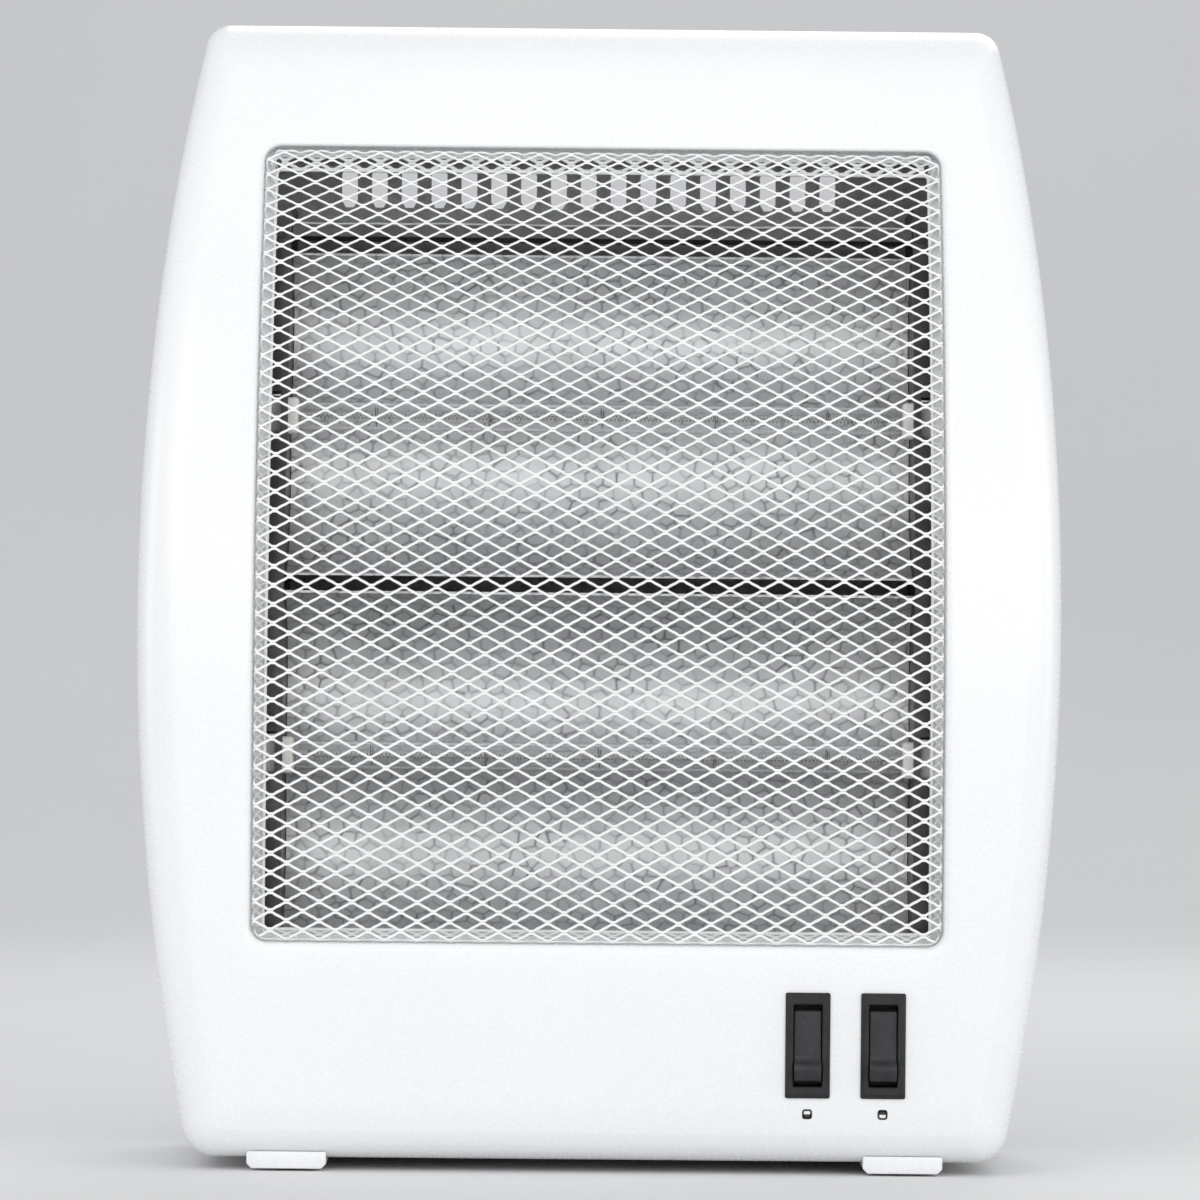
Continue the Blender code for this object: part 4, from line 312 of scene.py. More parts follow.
def crease_shaded_material():
    """Bright sheet whose colour is darkened towards near-black where the mesh's crease attribute is high:
    painted shade in the emboss creases.
    """
    material = finish_material("reflector bright with painted crease shade", (0.66, 0.665, 0.672), (0.56, 0.565, 0.572),
                               0.47, 0.05, 500.0, (0.10, 0.0002), 0.88, 30.0, (0.12, 1.0, 1.0))
    tree, links, shader = nodes_of(material)
    plain = shader.inputs["Base Color"].links[0].from_socket
    attribute = tree.nodes.new("ShaderNodeAttribute")
    attribute.attribute_name = "crease"
    share = tree.nodes.new("ShaderNodeMath")
    share.operation = "MULTIPLY"
    share.inputs[1].default_value = CREASE_SHADE
    links.new(attribute.outputs["Fac"], share.inputs[0])
    mix = tree.nodes.new("ShaderNodeMix")
    mix.data_type = "RGBA"
    sockets = {socket.identifier: socket for socket in list(mix.inputs) + list(mix.outputs)}
    # Near-black colour mixed in at the creases: painted shade
    sockets["B_Color"].default_value = (0.05, 0.05, 0.054, 1.0)
    links.new(share.outputs["Value"], sockets["Factor_Float"])
    links.new(plain, sockets["A_Color"])
    links.new(sockets["Result_Color"], shader.inputs["Base Color"])
    return material


# Name, two colours, roughness and its spread, fine scale, bump, metallic, coarse scale, stretch, specular
FINISHES = {
    "white_plastic": (
        "casing white", (0.835, 0.842, 0.845), (0.815, 0.823, 0.828),
        0.27, 0.05, 900.0, (0.10, 0.00012), 0.0, 6.0),
    "white_metal": (
        "grille white", (0.87, 0.875, 0.875), (0.82, 0.825, 0.82),
        0.36, 0.08, 1400.0, (0.25, 0.0002), 0.0, 60.0),
    "grey_metal": (
        "cover grey", (0.50, 0.505, 0.51), (0.38, 0.385, 0.39),
        0.46, 0.10, 420.0, (0.45, 0.0004), 0.0, 300.0),
    "aluminium": (
        "reflector bright", (0.50, 0.505, 0.51), (0.42, 0.425, 0.432),
        0.32, 0.05, 500.0, (0.10, 0.0002), 1.0, 30.0, (0.12, 1.0, 1.0)),
    "zinc": (
        "zinc sheet", (0.52, 0.53, 0.545), (0.38, 0.385, 0.40),
        0.38, 0.10, 300.0, (0.12, 0.0002), 1.0, 90.0),
    "tungsten": (
        "filament grey", (0.20, 0.19, 0.18), (0.13, 0.125, 0.12),
        0.48, 0.10, 900.0, (0.2, 0.0002), 1.0, 200.0),
    "ceramic": (
        "ceramic white", (0.86, 0.85, 0.81), (0.78, 0.765, 0.72),
        0.55, 0.12, 700.0, (0.35, 0.0003), 0.0, 120.0),
    "spring_steel": (
        "spring steel", (0.60, 0.60, 0.62), (0.46, 0.46, 0.48),
        0.26, 0.10, 600.0, (0.15, 0.0002), 1.0, 150.0),
    "black_plastic": (
        "bezel black", (0.016, 0.017, 0.018), (0.024, 0.025, 0.026),
        0.46, 0.08, 1500.0, (0.30, 0.0002), 0.0, 200.0, None, 0.25),
    "rocker_plastic": (
        "rocker black", (0.022, 0.023, 0.025), (0.032, 0.033, 0.035),
        0.40, 0.08, 1800.0, (0.25, 0.0002), 0.0, 260.0, None, 0.3),
    "natural_plastic": (
        "natural nylon", (0.80, 0.78, 0.69), (0.72, 0.69, 0.60),
        0.45, 0.10, 600.0, (0.2, 0.0002), 0.0, 90.0),
    "rubber": (
        "rubber black", (0.028, 0.028, 0.028), (0.045, 0.045, 0.044),
        0.78, 0.10, 900.0, (0.5, 0.0003), 0.0, 150.0),
    "insulation": (
        "silicone sleeve", (0.80, 0.77, 0.70), (0.70, 0.66, 0.58),
        0.55, 0.12, 800.0, (0.3, 0.0002), 0.0, 120.0),
    "screw_steel": (
        "screw zinc", (0.66, 0.66, 0.67), (0.50, 0.50, 0.51),
        0.28, 0.10, 900.0, (0.15, 0.0002), 1.0, 250.0),
}
MATERIALS = {slot: finish_material(*values) for slot, values in FINISHES.items()}
MATERIALS["quartz"] = glass_material("clear quartz")
STAGE_PAPER = finish_material("studio paper", (0.74, 0.74, 0.74), (0.72, 0.72, 0.725), 0.85, 0.05,
                              60.0, (0.02, 0.0005), coarse=2.0)
PRINT_INK = finish_material("print ink", (0.014, 0.014, 0.015), (0.024, 0.024, 0.026), 0.50, 0.08,
                            1200.0, (0.1, 0.0001), coarse=400.0)
# Painted shade: the side plates and the top heat shield get a near-black sheet colour that stands in for the
# shade they sit in
SHADE_DARKENED_SHEET = finish_material("sheet darkened as painted shade", (0.105, 0.104, 0.106), (0.070, 0.064, 0.060), 0.44, 0.10,
                               380.0, (0.15, 0.0002), 1.0, 45.0)
EMBOSSED_CREASE_SHADED_SHEET = crease_shaded_material()

for row in frame["record"]["subparts"]:
    cad = frame["nodes"][row["node"]]
    # The side plates and the top heat shield take the near-black sheet colour, painted shade
    shade_darkened = row["node"] in ("side_plate_left", "side_plate_right", "heat_shield_top")
    cad.data.materials.clear()
    cad.data.materials.append(SHADE_DARKENED_SHEET if shade_darkened else MATERIALS[row["material_slot"]])


# Mesh helpers

def add_object(name, data):
    """Makes an object and links it to the scene."""
    item = bpy.data.objects.new(name, data)
    bpy.context.scene.collection.objects.link(item)
    return item


def mesh_from_bmesh(name, bm):
    """Turns a bmesh into a mesh with its faces outwards."""
    bmesh.ops.recalc_face_normals(bm, faces=bm.faces)
    mesh = bpy.data.meshes.new(name)
    bm.to_mesh(mesh)
    bm.free()
    return mesh


def shaded_object(name, mesh, angle):
    """Makes a smooth shaded object whose edges over an angle stay sharp."""
    mesh.shade_smooth()
    mesh.set_sharp_from_angle(angle=math.radians(angle))
    return add_object(name, mesh)


def make_object(name, bm, angle=40.0):
    """Turns a bmesh into a smooth shaded object with sharp edges kept."""
    return shaded_object(name, mesh_from_bmesh(name, bm), angle)


def place_piece(item, slot, *nodes, body="casing", material=None):
    """Hangs a finished piece on a body, in its slot's material or the one given, and hides the nodes that it
    stands for.
    """
    item.data.materials.append(material or MATERIALS[slot])
    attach(item, body)
    if nodes:
        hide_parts(*nodes)


def apply_modifiers(item):
    """Replaces an object's mesh by its modified form."""
    graph = bpy.context.evaluated_depsgraph_get()
    mesh = bpy.data.meshes.new_from_object(item.evaluated_get(graph))
    old = item.data
    item.modifiers.clear()
    item.data = mesh
    bpy.data.meshes.remove(old)


def cut_or_join(item, bm, operation, angle=None):
    """Cuts or joins a tool body, applies the result and marks its edges over an angle as sharp."""
    tool = add_object("tool", mesh_from_bmesh("tool", bm))
    modifier = item.modifiers.new("tool", "BOOLEAN")
    modifier.operation = operation
    modifier.solver = "EXACT"
    modifier.object = tool
    apply_modifiers(item)
    bpy.data.objects.remove(tool, do_unlink=True)
    if angle is not None:
        item.data.set_sharp_from_angle(angle=math.radians(angle))


def add_bevel(item, width, segments=3, angle=30.0):
    """Rounds an object's edges and applies the result."""
    modifier = item.modifiers.new("bevel", "BEVEL")
    modifier.width = width
    modifier.segments = segments
    modifier.limit_method = "ANGLE"
    modifier.angle_limit = math.radians(angle)
    apply_modifiers(item)
    item.data.shade_smooth()
    item.data.set_sharp_from_angle(angle=math.radians(40.0))


def add_rows(bm, rows, closed=False, sheet=False):
    """Bridges rings of equal length into a capped or closed body, or lines into an open sheet."""
    rings = [[bm.verts.new(point) for point in row] for row in rows]
    pairs = list(zip(rings, rings[1:]))
    if closed:
        pairs.append((rings[-1], rings[0]))
    elif not sheet:
        bm.faces.new(rings[0])
        bm.faces.new(list(reversed(rings[-1])))
    for ring, following in pairs:
        count = len(ring)
        for index in range(count - 1 if sheet else count):
            after = (index + 1) % count
            bm.faces.new((ring[index], following[index], following[after], ring[after]))


def add_turned(bm, profile, base, direction, sides=32, closed=False):
    """Adds a body turned about an axis; profile gives radius and distance along the axis."""
    direction = Vector(direction).normalized()
    turn = Vector((0.0, 0.0, 1.0)).rotation_difference(direction)
    rows = []
    for radius, along in profile:
        ring = []
        for step in range(sides):
            angle = 2.0 * math.pi * (step + 0.5) / sides
            point = Vector((radius * math.cos(angle), radius * math.sin(angle), along))
            ring.append(Vector(base) + turn @ point)
        rows.append(ring)
    add_rows(bm, rows, closed)


def add_box(bm, low, high):
    """Adds a box between two corners."""
    corners = ((low[0], low[1]), (high[0], low[1]), (high[0], high[1]), (low[0], high[1]))
    add_rows(bm, [[Vector((x, y, z)) for x, y in corners] for z in (low[2], high[2])])


def grid_faces(rings, closed_rows=False):
    """Returns quads over a grid of points kept as closed rings of equal length."""
    rows, count = rings.shape[:2]
    a, b = np.meshgrid(np.arange(rows if closed_rows else rows - 1), np.arange(count), indexing="ij")
    a2 = (a + 1) % rows
    b2 = (b + 1) % count
    quads = np.stack([a * count + b, a2 * count + b, a2 * count + b2, a * count + b2], axis=-1)
    return quads.reshape(-1, 4)


def unit(rows):
    """Returns an array's rows as unit vectors."""
    return rows / np.linalg.norm(rows, axis=1)[:, None]


def ring_stack(centre, across, upward, radius, sides):
    """Returns the rings of a tube round an array of points."""
    rings = []
    for index in range(sides):
        angle = 2.0 * math.pi * index / sides
        rings.append(centre + radius * (math.cos(angle) * across + math.sin(angle) * upward))
    return np.stack(rings, axis=1)


def mesh_from_arrays(name, points, faces):
    """Makes an object from arrays of points and quads."""
    mesh = bpy.data.meshes.new(name)
    mesh.from_pydata([tuple(point) for point in points], [], [tuple(face) for face in faces])
    mesh.update()
    return shaded_object(name, mesh, 60.0)


# Shape of the casing

def front_depth(height):
    """Returns Y of the bowed front face at a height."""
    rise = min(max(0.0, height - BOW_START_Z), BOW_RADIUS * 0.98)
    return FRONT_Y + BOW_RADIUS - math.sqrt(BOW_RADIUS ** 2 - rise ** 2)


def outline_half(height):
    """Returns the casing's half width at a height."""
    radius = SIDE_RADIUS_UPPER if height > WIDEST_Z else SIDE_RADIUS_LOWER
    return HALF_WIDTH - radius + math.sqrt(radius ** 2 - (height - WIDEST_Z) ** 2)


def quarter_round(start, corner, end, steps):
    """Returns the points between start and end of a near-circular corner."""
    points = []
    weight = math.sqrt(0.5)
    for step in range(1, steps):
        t = step / steps
        shares = ((1.0 - t) ** 2, 2.0 * weight * t * (1.0 - t), t ** 2)
        total = sum(shares)
        ends = list(zip(shares, (start, corner, end)))
        points.append(tuple(sum(share * point[axis] for share, point in ends) / total for axis in (0, 1)))
    return points


def loop_points(half_at, bottom, top, radius_bottom, radius_top, side_steps=SIDE_STEPS,
                corner_steps=CORNER_STEPS):
    """Returns an anticlockwise loop of X and Z with the same count of points for every shape."""
    side = []
    low = bottom + radius_bottom
    high = top - radius_top
    for step in range(side_steps + 1):
        height = low + (high - low) * step / side_steps
        side.append((half_at(height), height))
    lower_end = (half_at(bottom) - radius_bottom, bottom)
    upper_end = (half_at(top) - radius_top, top)
    lower = quarter_round(lower_end, (half_at(bottom), bottom), side[0], corner_steps)
    upper = quarter_round(side[-1], (half_at(top), top), upper_end, corner_steps)
    right = [lower_end] + lower + side + upper + [upper_end]
    return right + [(-x, z) for x, z in reversed(right)]


def casing_loop(inset=0.0, bottom_inset=None, top_inset=None):
    """Returns the casing's outline, moved inwards by the given insets."""
    bottom_inset = inset if bottom_inset is None else bottom_inset
    top_inset = inset if top_inset is None else top_inset
    radii = [max(radius - 0.5 * inset, 0.002) for radius in (CORNER_RADIUS_BOTTOM, CORNER_RADIUS_TOP)]
    return loop_points(lambda height: outline_half(height) - inset,
                       CASE_BOTTOM_Z + bottom_inset, CASE_TOP_Z - top_inset, *radii)


def window_loop(outset):
    """Returns the window's outline, moved outwards by an outset."""
    return loop_points(lambda height: WINDOW_HALF + outset, WINDOW_BOTTOM_Z - outset, WINDOW_TOP_Z + outset,
                       WINDOW_CORNER + outset, WINDOW_CORNER + outset)


def bowed(loop, depth):
    """Places a loop at a depth behind the bowed front face."""
    return [Vector((x, front_depth(z) + depth, z)) for x, z in loop]


def flat(loop, y):
    """Places a loop in an upright plane."""
    return [Vector((x, y, z)) for x, z in loop]


def mixed(first, second, share):
    """Mixes two loops point by point."""
    return [tuple(a + (b - a) * share for a, b in zip(p, q)) for p, q in zip(first, second)]


def band_depth(share):
    """Returns the rolled band's depth as a smooth curve through the profile's points."""
    shares = [row[0] for row in BAND_PROFILE]
    depths = [row[1] for row in BAND_PROFILE]
    slopes = [(depths[i + 1] - depths[i]) / (shares[i + 1] - shares[i]) for i in range(len(shares) - 1)]
    tangents = [slopes[0] * 1.6]
    for first, second in zip(slopes, slopes[1:]):
        tangents.append(2.0 * first * second / (first + second))
    tangents.append(slopes[-1] * 0.75)
    for index in range(len(slopes)):
        if share <= shares[index + 1]:
            break
    width = shares[index + 1] - shares[index]
    t = (share - shares[index]) / width
    return (depths[index] * (1 + 2 * t) * (1 - t) ** 2 + tangents[index] * width * t * (1 - t) ** 2
            + depths[index + 1] * t * t * (3 - 2 * t) + tangents[index + 1] * width * t * t * (t - 1))


def build_front_panel():
    """Fine casing: bowed face, rolled band and rolled window edge, with its openings."""
    rear_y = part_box("front_panel")[1].y
    crease = casing_loop(BAND_SIDE, BAND_BOTTOM, BAND_TOP)
    outer = casing_loop()
    inner = casing_loop(WALL)
    window = window_loop(WINDOW_ROLL)
    rows = [flat(casing_loop(REAR_EDGE), rear_y), flat(outer, rear_y - REAR_EDGE)]
    for step in range(BAND_STEPS + 1):
        share = (step / BAND_STEPS) ** BAND_EASE
        rows.append(bowed(mixed(outer, crease, share), band_depth(share) * BAND_DEPTH))
    for step in range(1, FACE_STEPS):
        rows.append(bowed(mixed(crease, window, step / FACE_STEPS), 0.0))
    for step in range(ROLL_STEPS + 1):
        angle = math.radians(90.0 * step / ROLL_STEPS)
        rows.append(bowed(window_loop(WINDOW_ROLL * (1.0 - math.sin(angle))),
                          WINDOW_ROLL * (1.0 - math.cos(angle))))
    return_back = RETURN_DEPTH + RETURN_WALL
    for outset, depth in ((0.0, RETURN_DEPTH), (-RETURN_WIDTH, RETURN_DEPTH), (-RETURN_WIDTH, return_back),
                          (WALL, return_back), (WALL, WALL)):
        rows.append(bowed(window_loop(outset), depth))
    for share in INNER_BAND_SHARES:
        rows.append(bowed(mixed(inner, crease, share), WALL + band_depth(share) * BAND_DEPTH))
    rows += [flat(inner, rear_y - REAR_EDGE), flat(casing_loop(WALL - REAR_EDGE / 2.0), rear_y)]
    bm = bmesh.new()
    add_rows(bm, rows, closed=True)
    panel = make_object("casing_front_shell", bm, 32.0)
    holes = bmesh.new()
    half_width, half_height = SWITCH_HOLE_HALF
    for x in SWITCH_X.values():
        add_box(holes, (x - half_width, FRONT_Y - SWITCH_HOLE_AHEAD, SWITCH_Z - half_height),
                (x + half_width, FRONT_Y + SWITCH_HOLE_BEHIND, SWITCH_Z + half_height))
    add_turned(holes, ((PLUNGER_HOLE, 0.0), (PLUNGER_HOLE, PLUNGER_HOLE_TOP)), (0.0, PLUNGER_Y, 0.0),
               (0, 0, 1))
    cut_or_join(panel, holes, "DIFFERENCE", 32.0)
    place_piece(panel, "white_plastic", "front_panel")


# Grille of expanded metal

def grille_limits():
    """Returns the half width, lower end, upper end, skirt length and lean of the folded net."""
    rise = math.asin((WINDOW_TOP_Z - BOW_START_Z) / BOW_RADIUS)
    high = BOW_START_Z + rise * (BOW_RADIUS - GRILLE_SETBACK) - CLEARANCE
    straight = LIP_DEPTH - GRILLE_SETBACK - GRILLE_BEND
    rest = GRILLE_FOLD - LIP_DEPTH + GRILLE_SETBACK
    skirt = GRILLE_BEND * math.pi / 2.0 + straight + math.hypot(GRILLE_DRAW_IN, rest)
    return WINDOW_HALF - CLEARANCE, WINDOW_BOTTOM_Z + CLEARANCE, high, skirt, math.atan2(GRILLE_DRAW_IN, rest)


def grille_place(across, run, depth):
    """Folds arrays of flat points round the window's edge and bends them onto the bow.

    Also returns how far each point lies beyond the start of the fold.
    """
    half, low, high, skirt, lean = grille_limits()
    radius = WINDOW_CORNER - CLEARANCE - GRILLE_BEND
    past_x = np.maximum(np.abs(across) - (half - GRILLE_BEND - radius), 0.0)
    past_run = np.maximum(np.abs(run - (low + high) / 2.0) - ((high - low) / 2.0 - GRILLE_BEND - radius), 0.0)
    length = np.hypot(past_x, past_run)
    beyond = np.maximum(length - radius, 0.0)
    safe = np.maximum(length, 1e-9)
    way_x = np.sign(across) * past_x / safe
    way_run = np.sign(run - (low + high) / 2.0) * past_run / safe
    turned = np.minimum(beyond / GRILLE_BEND, math.pi / 2.0)
    flank = np.maximum(beyond - GRILLE_BEND * math.pi / 2.0, 0.0)
    straight = LIP_DEPTH - GRILLE_SETBACK - GRILLE_BEND
    leaning = np.maximum(flank - straight, 0.0)
    out = (GRILLE_BEND - depth) * np.sin(turned) - leaning * math.sin(lean)
    deep = GRILLE_SETBACK + GRILLE_BEND - (GRILLE_BEND - depth) * np.cos(turned)
    deep = deep + np.minimum(flank, straight) + leaning * math.cos(lean)
    x = across + way_x * (out - beyond)
    flat_run = run + way_run * (out - beyond)
    angle = np.maximum(flat_run - BOW_START_Z, 0.0) / (BOW_RADIUS - GRILLE_SETBACK)
    reach = BOW_RADIUS - deep
    y = np.where(flat_run > BOW_START_Z, FRONT_Y + BOW_RADIUS - reach * np.cos(angle), FRONT_Y + deep)
    z = np.where(flat_run > BOW_START_Z, BOW_START_Z + reach * np.sin(angle), flat_run)
    return np.stack([x, y, z], axis=-1), beyond


def build_grille():
    """Expanded metal: rows of zigzag strands that are joined at their bonds, with folded edges."""
    half, low, high, skirt, lean = grille_limits()
    reach = half + skirt
    step_x = DIAMOND_WIDTH / 2.0
    flat_share = BOND_LENGTH / 2.0 / step_x
    knee = flat_share * 1.9
    first = -math.ceil(reach / step_x)
    shares = (0.0, flat_share, knee, 0.35, 0.5, 0.65, 1.0 - knee, 1.0 - flat_share)
    stations = np.array([index + share for index in range(first, -first) for share in shares])
    across = stations * step_x
    keep = np.abs(across) <= reach
    stations = stations[keep]
    across = across[keep]
    part = stations - np.floor(stations)
    ramped = np.clip((part - flat_share) / (1.0 - 2.0 * flat_share), 0.0, 1.0)
    eased = ramped - STRAND_WAVE * np.sin(2.0 * math.pi * (ramped - 0.5))
    odd = np.mod(np.floor(stations), 2.0)
    lift = np.where(odd < 0.5, eased, 1.0 - eased)
    rise = DIAMOND_HEIGHT / 2.0 - STRAND_WIDTH * BOND_OVERLAP
    count = int(math.ceil((high - low + 2.0 * skirt) / (DIAMOND_HEIGHT / 2.0)))
    section = [(y * STRAND_THICKNESS, z * STRAND_WIDTH) for y, z in STRAND_SECTION]
    sides = len(section)
    turn_cos, turn_sin = math.cos(STRAND_TILT), math.sin(STRAND_TILT)
    slope = np.gradient(lift * rise, across)
    stretch = np.sqrt(1.0 + slope ** 2)
    points = []
    faces = []
    offset = 0
    for row in range(-1, count + 1):
        phase = lift if row % 2 == 0 else 1.0 - lift
        base = low - skirt + row * DIAMOND_HEIGHT / 2.0 + STRAND_WIDTH / 2.0
        middle = base + phase * rise
        rings = []
        for y, z in section:
            depth = STRAND_THICKNESS + y * turn_cos + z * turn_sin
            height = middle + (z * turn_cos - y * turn_sin) * stretch
            rings.append(np.stack([across, height, np.full_like(across, depth)], axis=-1))
        strand = np.stack(rings, axis=1)
        inside = grille_place(across, middle, np.zeros_like(across))[1] < skirt
        runs = np.flatnonzero(np.diff(np.concatenate(([False], inside, [False])).astype(int)))
        for start, end in zip(runs[::2], runs[1::2]):
            if end - start < 3:
                continue
            piece = strand[start:end]
            points.append(grille_place(piece[..., 0], piece[..., 1], piece[..., 2])[0].reshape(-1, 3))
            faces += [tuple(face) for face in grid_faces(piece) + offset]
            faces.append(tuple(range(offset, offset + sides)))
            offset += len(piece) * sides
            faces.append(tuple(range(offset - 1, offset - sides - 1, -1)))
    net = mesh_from_arrays("grille_net", np.concatenate(points), faces)
    wide = skirt - GRILLE_BEND
    corner = WINDOW_CORNER - CLEARANCE + wide
    line = np.array(loop_points(lambda height: half + wide, low - wide, high + wide, corner, corner, 60, 14))
    spots = grille_place(line[:, 0], line[:, 1], np.full(len(line), STRAND_THICKNESS))[0]
    ahead = unit(np.roll(spots, -1, axis=0) - np.roll(spots, 1, axis=0))
    outward = unit(np.cross(ahead, np.array([0.0, 1.0, 0.0])))
    tube = ring_stack(spots, outward, np.cross(outward, ahead), FOLD_RADIUS, FOLD_SIDES)
    fold = mesh_from_arrays("grille_fold_edge", tube.reshape(-1, 3), grid_faces(tube, True))
    place_piece(net, "white_metal", "grille")
    place_piece(fold, "white_metal", "grille")


# Reflectors and lamps

def flange_point(height):
    """Returns Y of the side plates' front flange at a height."""
    knee = (LOWER_SPAN[2] + UPPER_SPAN[0]) / 2.0
    return FRONT_Y + FLANGE_BEHIND_FACE + max(0.0, height - knee) * math.tan(UPPER_LEAN)


def cusp_depth(upper):
    """Returns Y of a reflector's cusp."""
    if not upper:
        return FRONT_Y + CUSP_BEHIND_FACE
    behind_flange = (CUSP_BEHIND_FACE - FLANGE_BEHIND_FACE) / math.cos(UPPER_LEAN)
    return flange_point(UPPER_SPAN[1]) + behind_flange


def arc_points(start, end, bulge, steps):
    """Returns points on an arc from start to end that bulges to the right of the chord."""
    start = Vector(start)
    end = Vector(end)
    chord = end - start
    half = chord.length / 2.0
    radius = (half * half + bulge * bulge) / (2.0 * bulge)
    across = Vector((chord.y, -chord.x)).normalized()
    centre = (start + end) / 2.0 + across * (bulge - radius)
    sweep = 2.0 * math.asin(min(1.0, half / radius))
    first = start - centre
    return [tuple(centre + Matrix.Rotation(sweep * step / steps, 2) @ first) for step in range(steps + 1)]


def emboss_height(across, along, seed):
    """Returns the emboss height, from flat cells that each tip their own way and narrow creases between them,
    and the crease weight that darkens the colour there as painted shade.
    """
    rng = np.random.default_rng(seed)
    columns = int((across.max() - across.min()) / DIMPLE_PITCH) + 5
    rows = int((along.max() - along.min()) / DIMPLE_ROW) + 5
    i, j = np.meshgrid(np.arange(columns), np.arange(rows), indexing="ij")
    x = across.min() + (i + 0.5 * (j % 2) - 2.0) * DIMPLE_PITCH + rng.normal(0.0, DIMPLE_JITTER, i.shape)
    z = along.min() - 2.0 * DIMPLE_PITCH + j * DIMPLE_ROW + rng.normal(0.0, DIMPLE_JITTER, i.shape)
    tip = rng.normal(0.0, DIMPLE_TIP, (2, i.size))
    weight = rng.uniform(0.25, 1.0, i.size)
    centres = np.stack([x.ravel(), z.ravel()], axis=1)
    spots = np.stack([across.ravel(), along.ravel()], axis=1)
    height = np.empty(len(spots))
    shade = np.empty(len(spots))
    for start in range(0, len(spots), BATCH):
        piece = spots[start:start + BATCH]
        gap = np.linalg.norm(piece[:, None, :] - centres[None, :, :], axis=2)
        order = np.argpartition(gap, 1, axis=1)[:, :2]
        near = np.take_along_axis(gap, order, axis=1)
        nearest = np.where(near[:, 0] <= near[:, 1], order[:, 0], order[:, 1])
        apart = near.max(axis=1) - near.min(axis=1)
        crease = np.exp(-(apart / CREASE_WIDTH) ** 2) * weight[order].min(axis=1)
        away = piece - centres[nearest]
        slant = away[:, 0] * tip[0][nearest] + away[:, 1] * tip[1][nearest]
        height[start:start + BATCH] = slant * (1.0 - crease) - CREASE_DEPTH * crease
        shade[start:start + BATCH] = crease
    return height.reshape(across.shape), shade.reshape(across.shape)


def build_reflector(name, span, upper, seed):
    """Embossed bright sheet with two troughs that meet in a cusp behind the lamp."""
    lean = UPPER_LEAN if upper else 0.0
    bottom, cusp_z, top = span
    cusp_y = cusp_depth(upper)
    ahead = EDGE_AHEAD_OF_CUSP
    slant = ahead * math.sin(lean)
    low = (bottom - cusp_z - slant) / math.cos(lean)
    high = (top - cusp_z - slant) / math.cos(lean)
    line = [(-ahead, low), (-ahead, low + REFLECTOR_LIP * 0.5)]
    line += arc_points((-ahead, low + REFLECTOR_LIP), (0.0, 0.0), TROUGH_BULGE, TROUGH_STEPS)
    line += arc_points((0.0, 0.0), (-ahead, high - REFLECTOR_LIP), TROUGH_BULGE, TROUGH_STEPS)[1:]
    line += [(-ahead, high - REFLECTOR_LIP * 0.5), (-ahead, high)]
    line = np.array(line)
    tangent = unit(np.gradient(line, axis=0))
    normal = np.stack([-tangent[:, 1], tangent[:, 0]], axis=1)
    length = np.concatenate(([0.0], np.cumsum(np.linalg.norm(np.diff(line, axis=0), axis=1))))
    across = np.linspace(-REFLECTOR_HALF, REFLECTOR_HALF, REFLECTOR_COLUMNS)
    grid_x, grid_s = np.meshgrid(across, length, indexing="ij")
    relief, crease = emboss_height(grid_x, grid_s, seed)
    border = np.clip((REFLECTOR_HALF - np.abs(grid_x)) / PLAIN_MARGIN, 0.0, 1.0)
    ends = np.clip(np.minimum(grid_s, length[-1] - grid_s) / PLAIN_MARGIN, 0.0, 1.0)
    relief = relief * border * ends
    sides = []
    for inset in (SKIN_INSET, REFLECTOR_SHEET - SKIN_INSET):
        y = line[None, :, 0] + normal[None, :, 0] * (relief - inset)
        z = line[None, :, 1] + normal[None, :, 1] * (relief - inset)
        world_y = cusp_y + y * math.cos(lean) + z * math.sin(lean)
        world_z = cusp_z - y * math.sin(lean) + z * math.cos(lean)
        sides.append(np.stack([grid_x, world_y, world_z], axis=-1))
    loops = np.concatenate([sides[0], sides[1][:, ::-1]], axis=1)
    faces = [tuple(face) for face in grid_faces(loops)]
    count = loops.shape[1]
    half = count // 2
    last = (loops.shape[0] - 1) * count
    for index in range(half - 1):
        pair = (index, index + 1, count - 2 - index, count - 1 - index)
        faces.append(pair)
        faces.append(tuple(last + value for value in reversed(pair)))
    sheet = mesh_from_arrays(name + "_embossed", loops.reshape(-1, 3), faces)
    # The crease weight goes to the material, where it darkens the colour as painted shade
    shade = sheet.data.attributes.new("crease", "FLOAT", "POINT")
    both = np.concatenate([crease, crease[:, ::-1]], axis=1)
    shade.data.foreach_set("value", both.ravel().astype(np.float32))
    place_piece(sheet, "aluminium", name, material=EMBOSSED_CREASE_SHADED_SHEET)


def build_shield_hem():
    """Bright rolled hem along the front edge of the upper heat shield."""
    low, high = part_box("heat_shield_top")
    x = np.linspace(low.x + HEM_RADIUS, high.x - HEM_RADIUS, 61)
    sag = 0.00012 * np.sin(x * 95.0) + 0.00008 * np.sin(x * 231.0 + 1.0)
    centre = np.stack([x, np.full_like(x, low.y + HEM_RADIUS * 0.6), high.z - HEM_RADIUS * 1.6 + sag], axis=1)
    hem = tube_object("heat_shield_hem", centre, HEM_RADIUS, 10)
    place_piece(hem, "zinc")


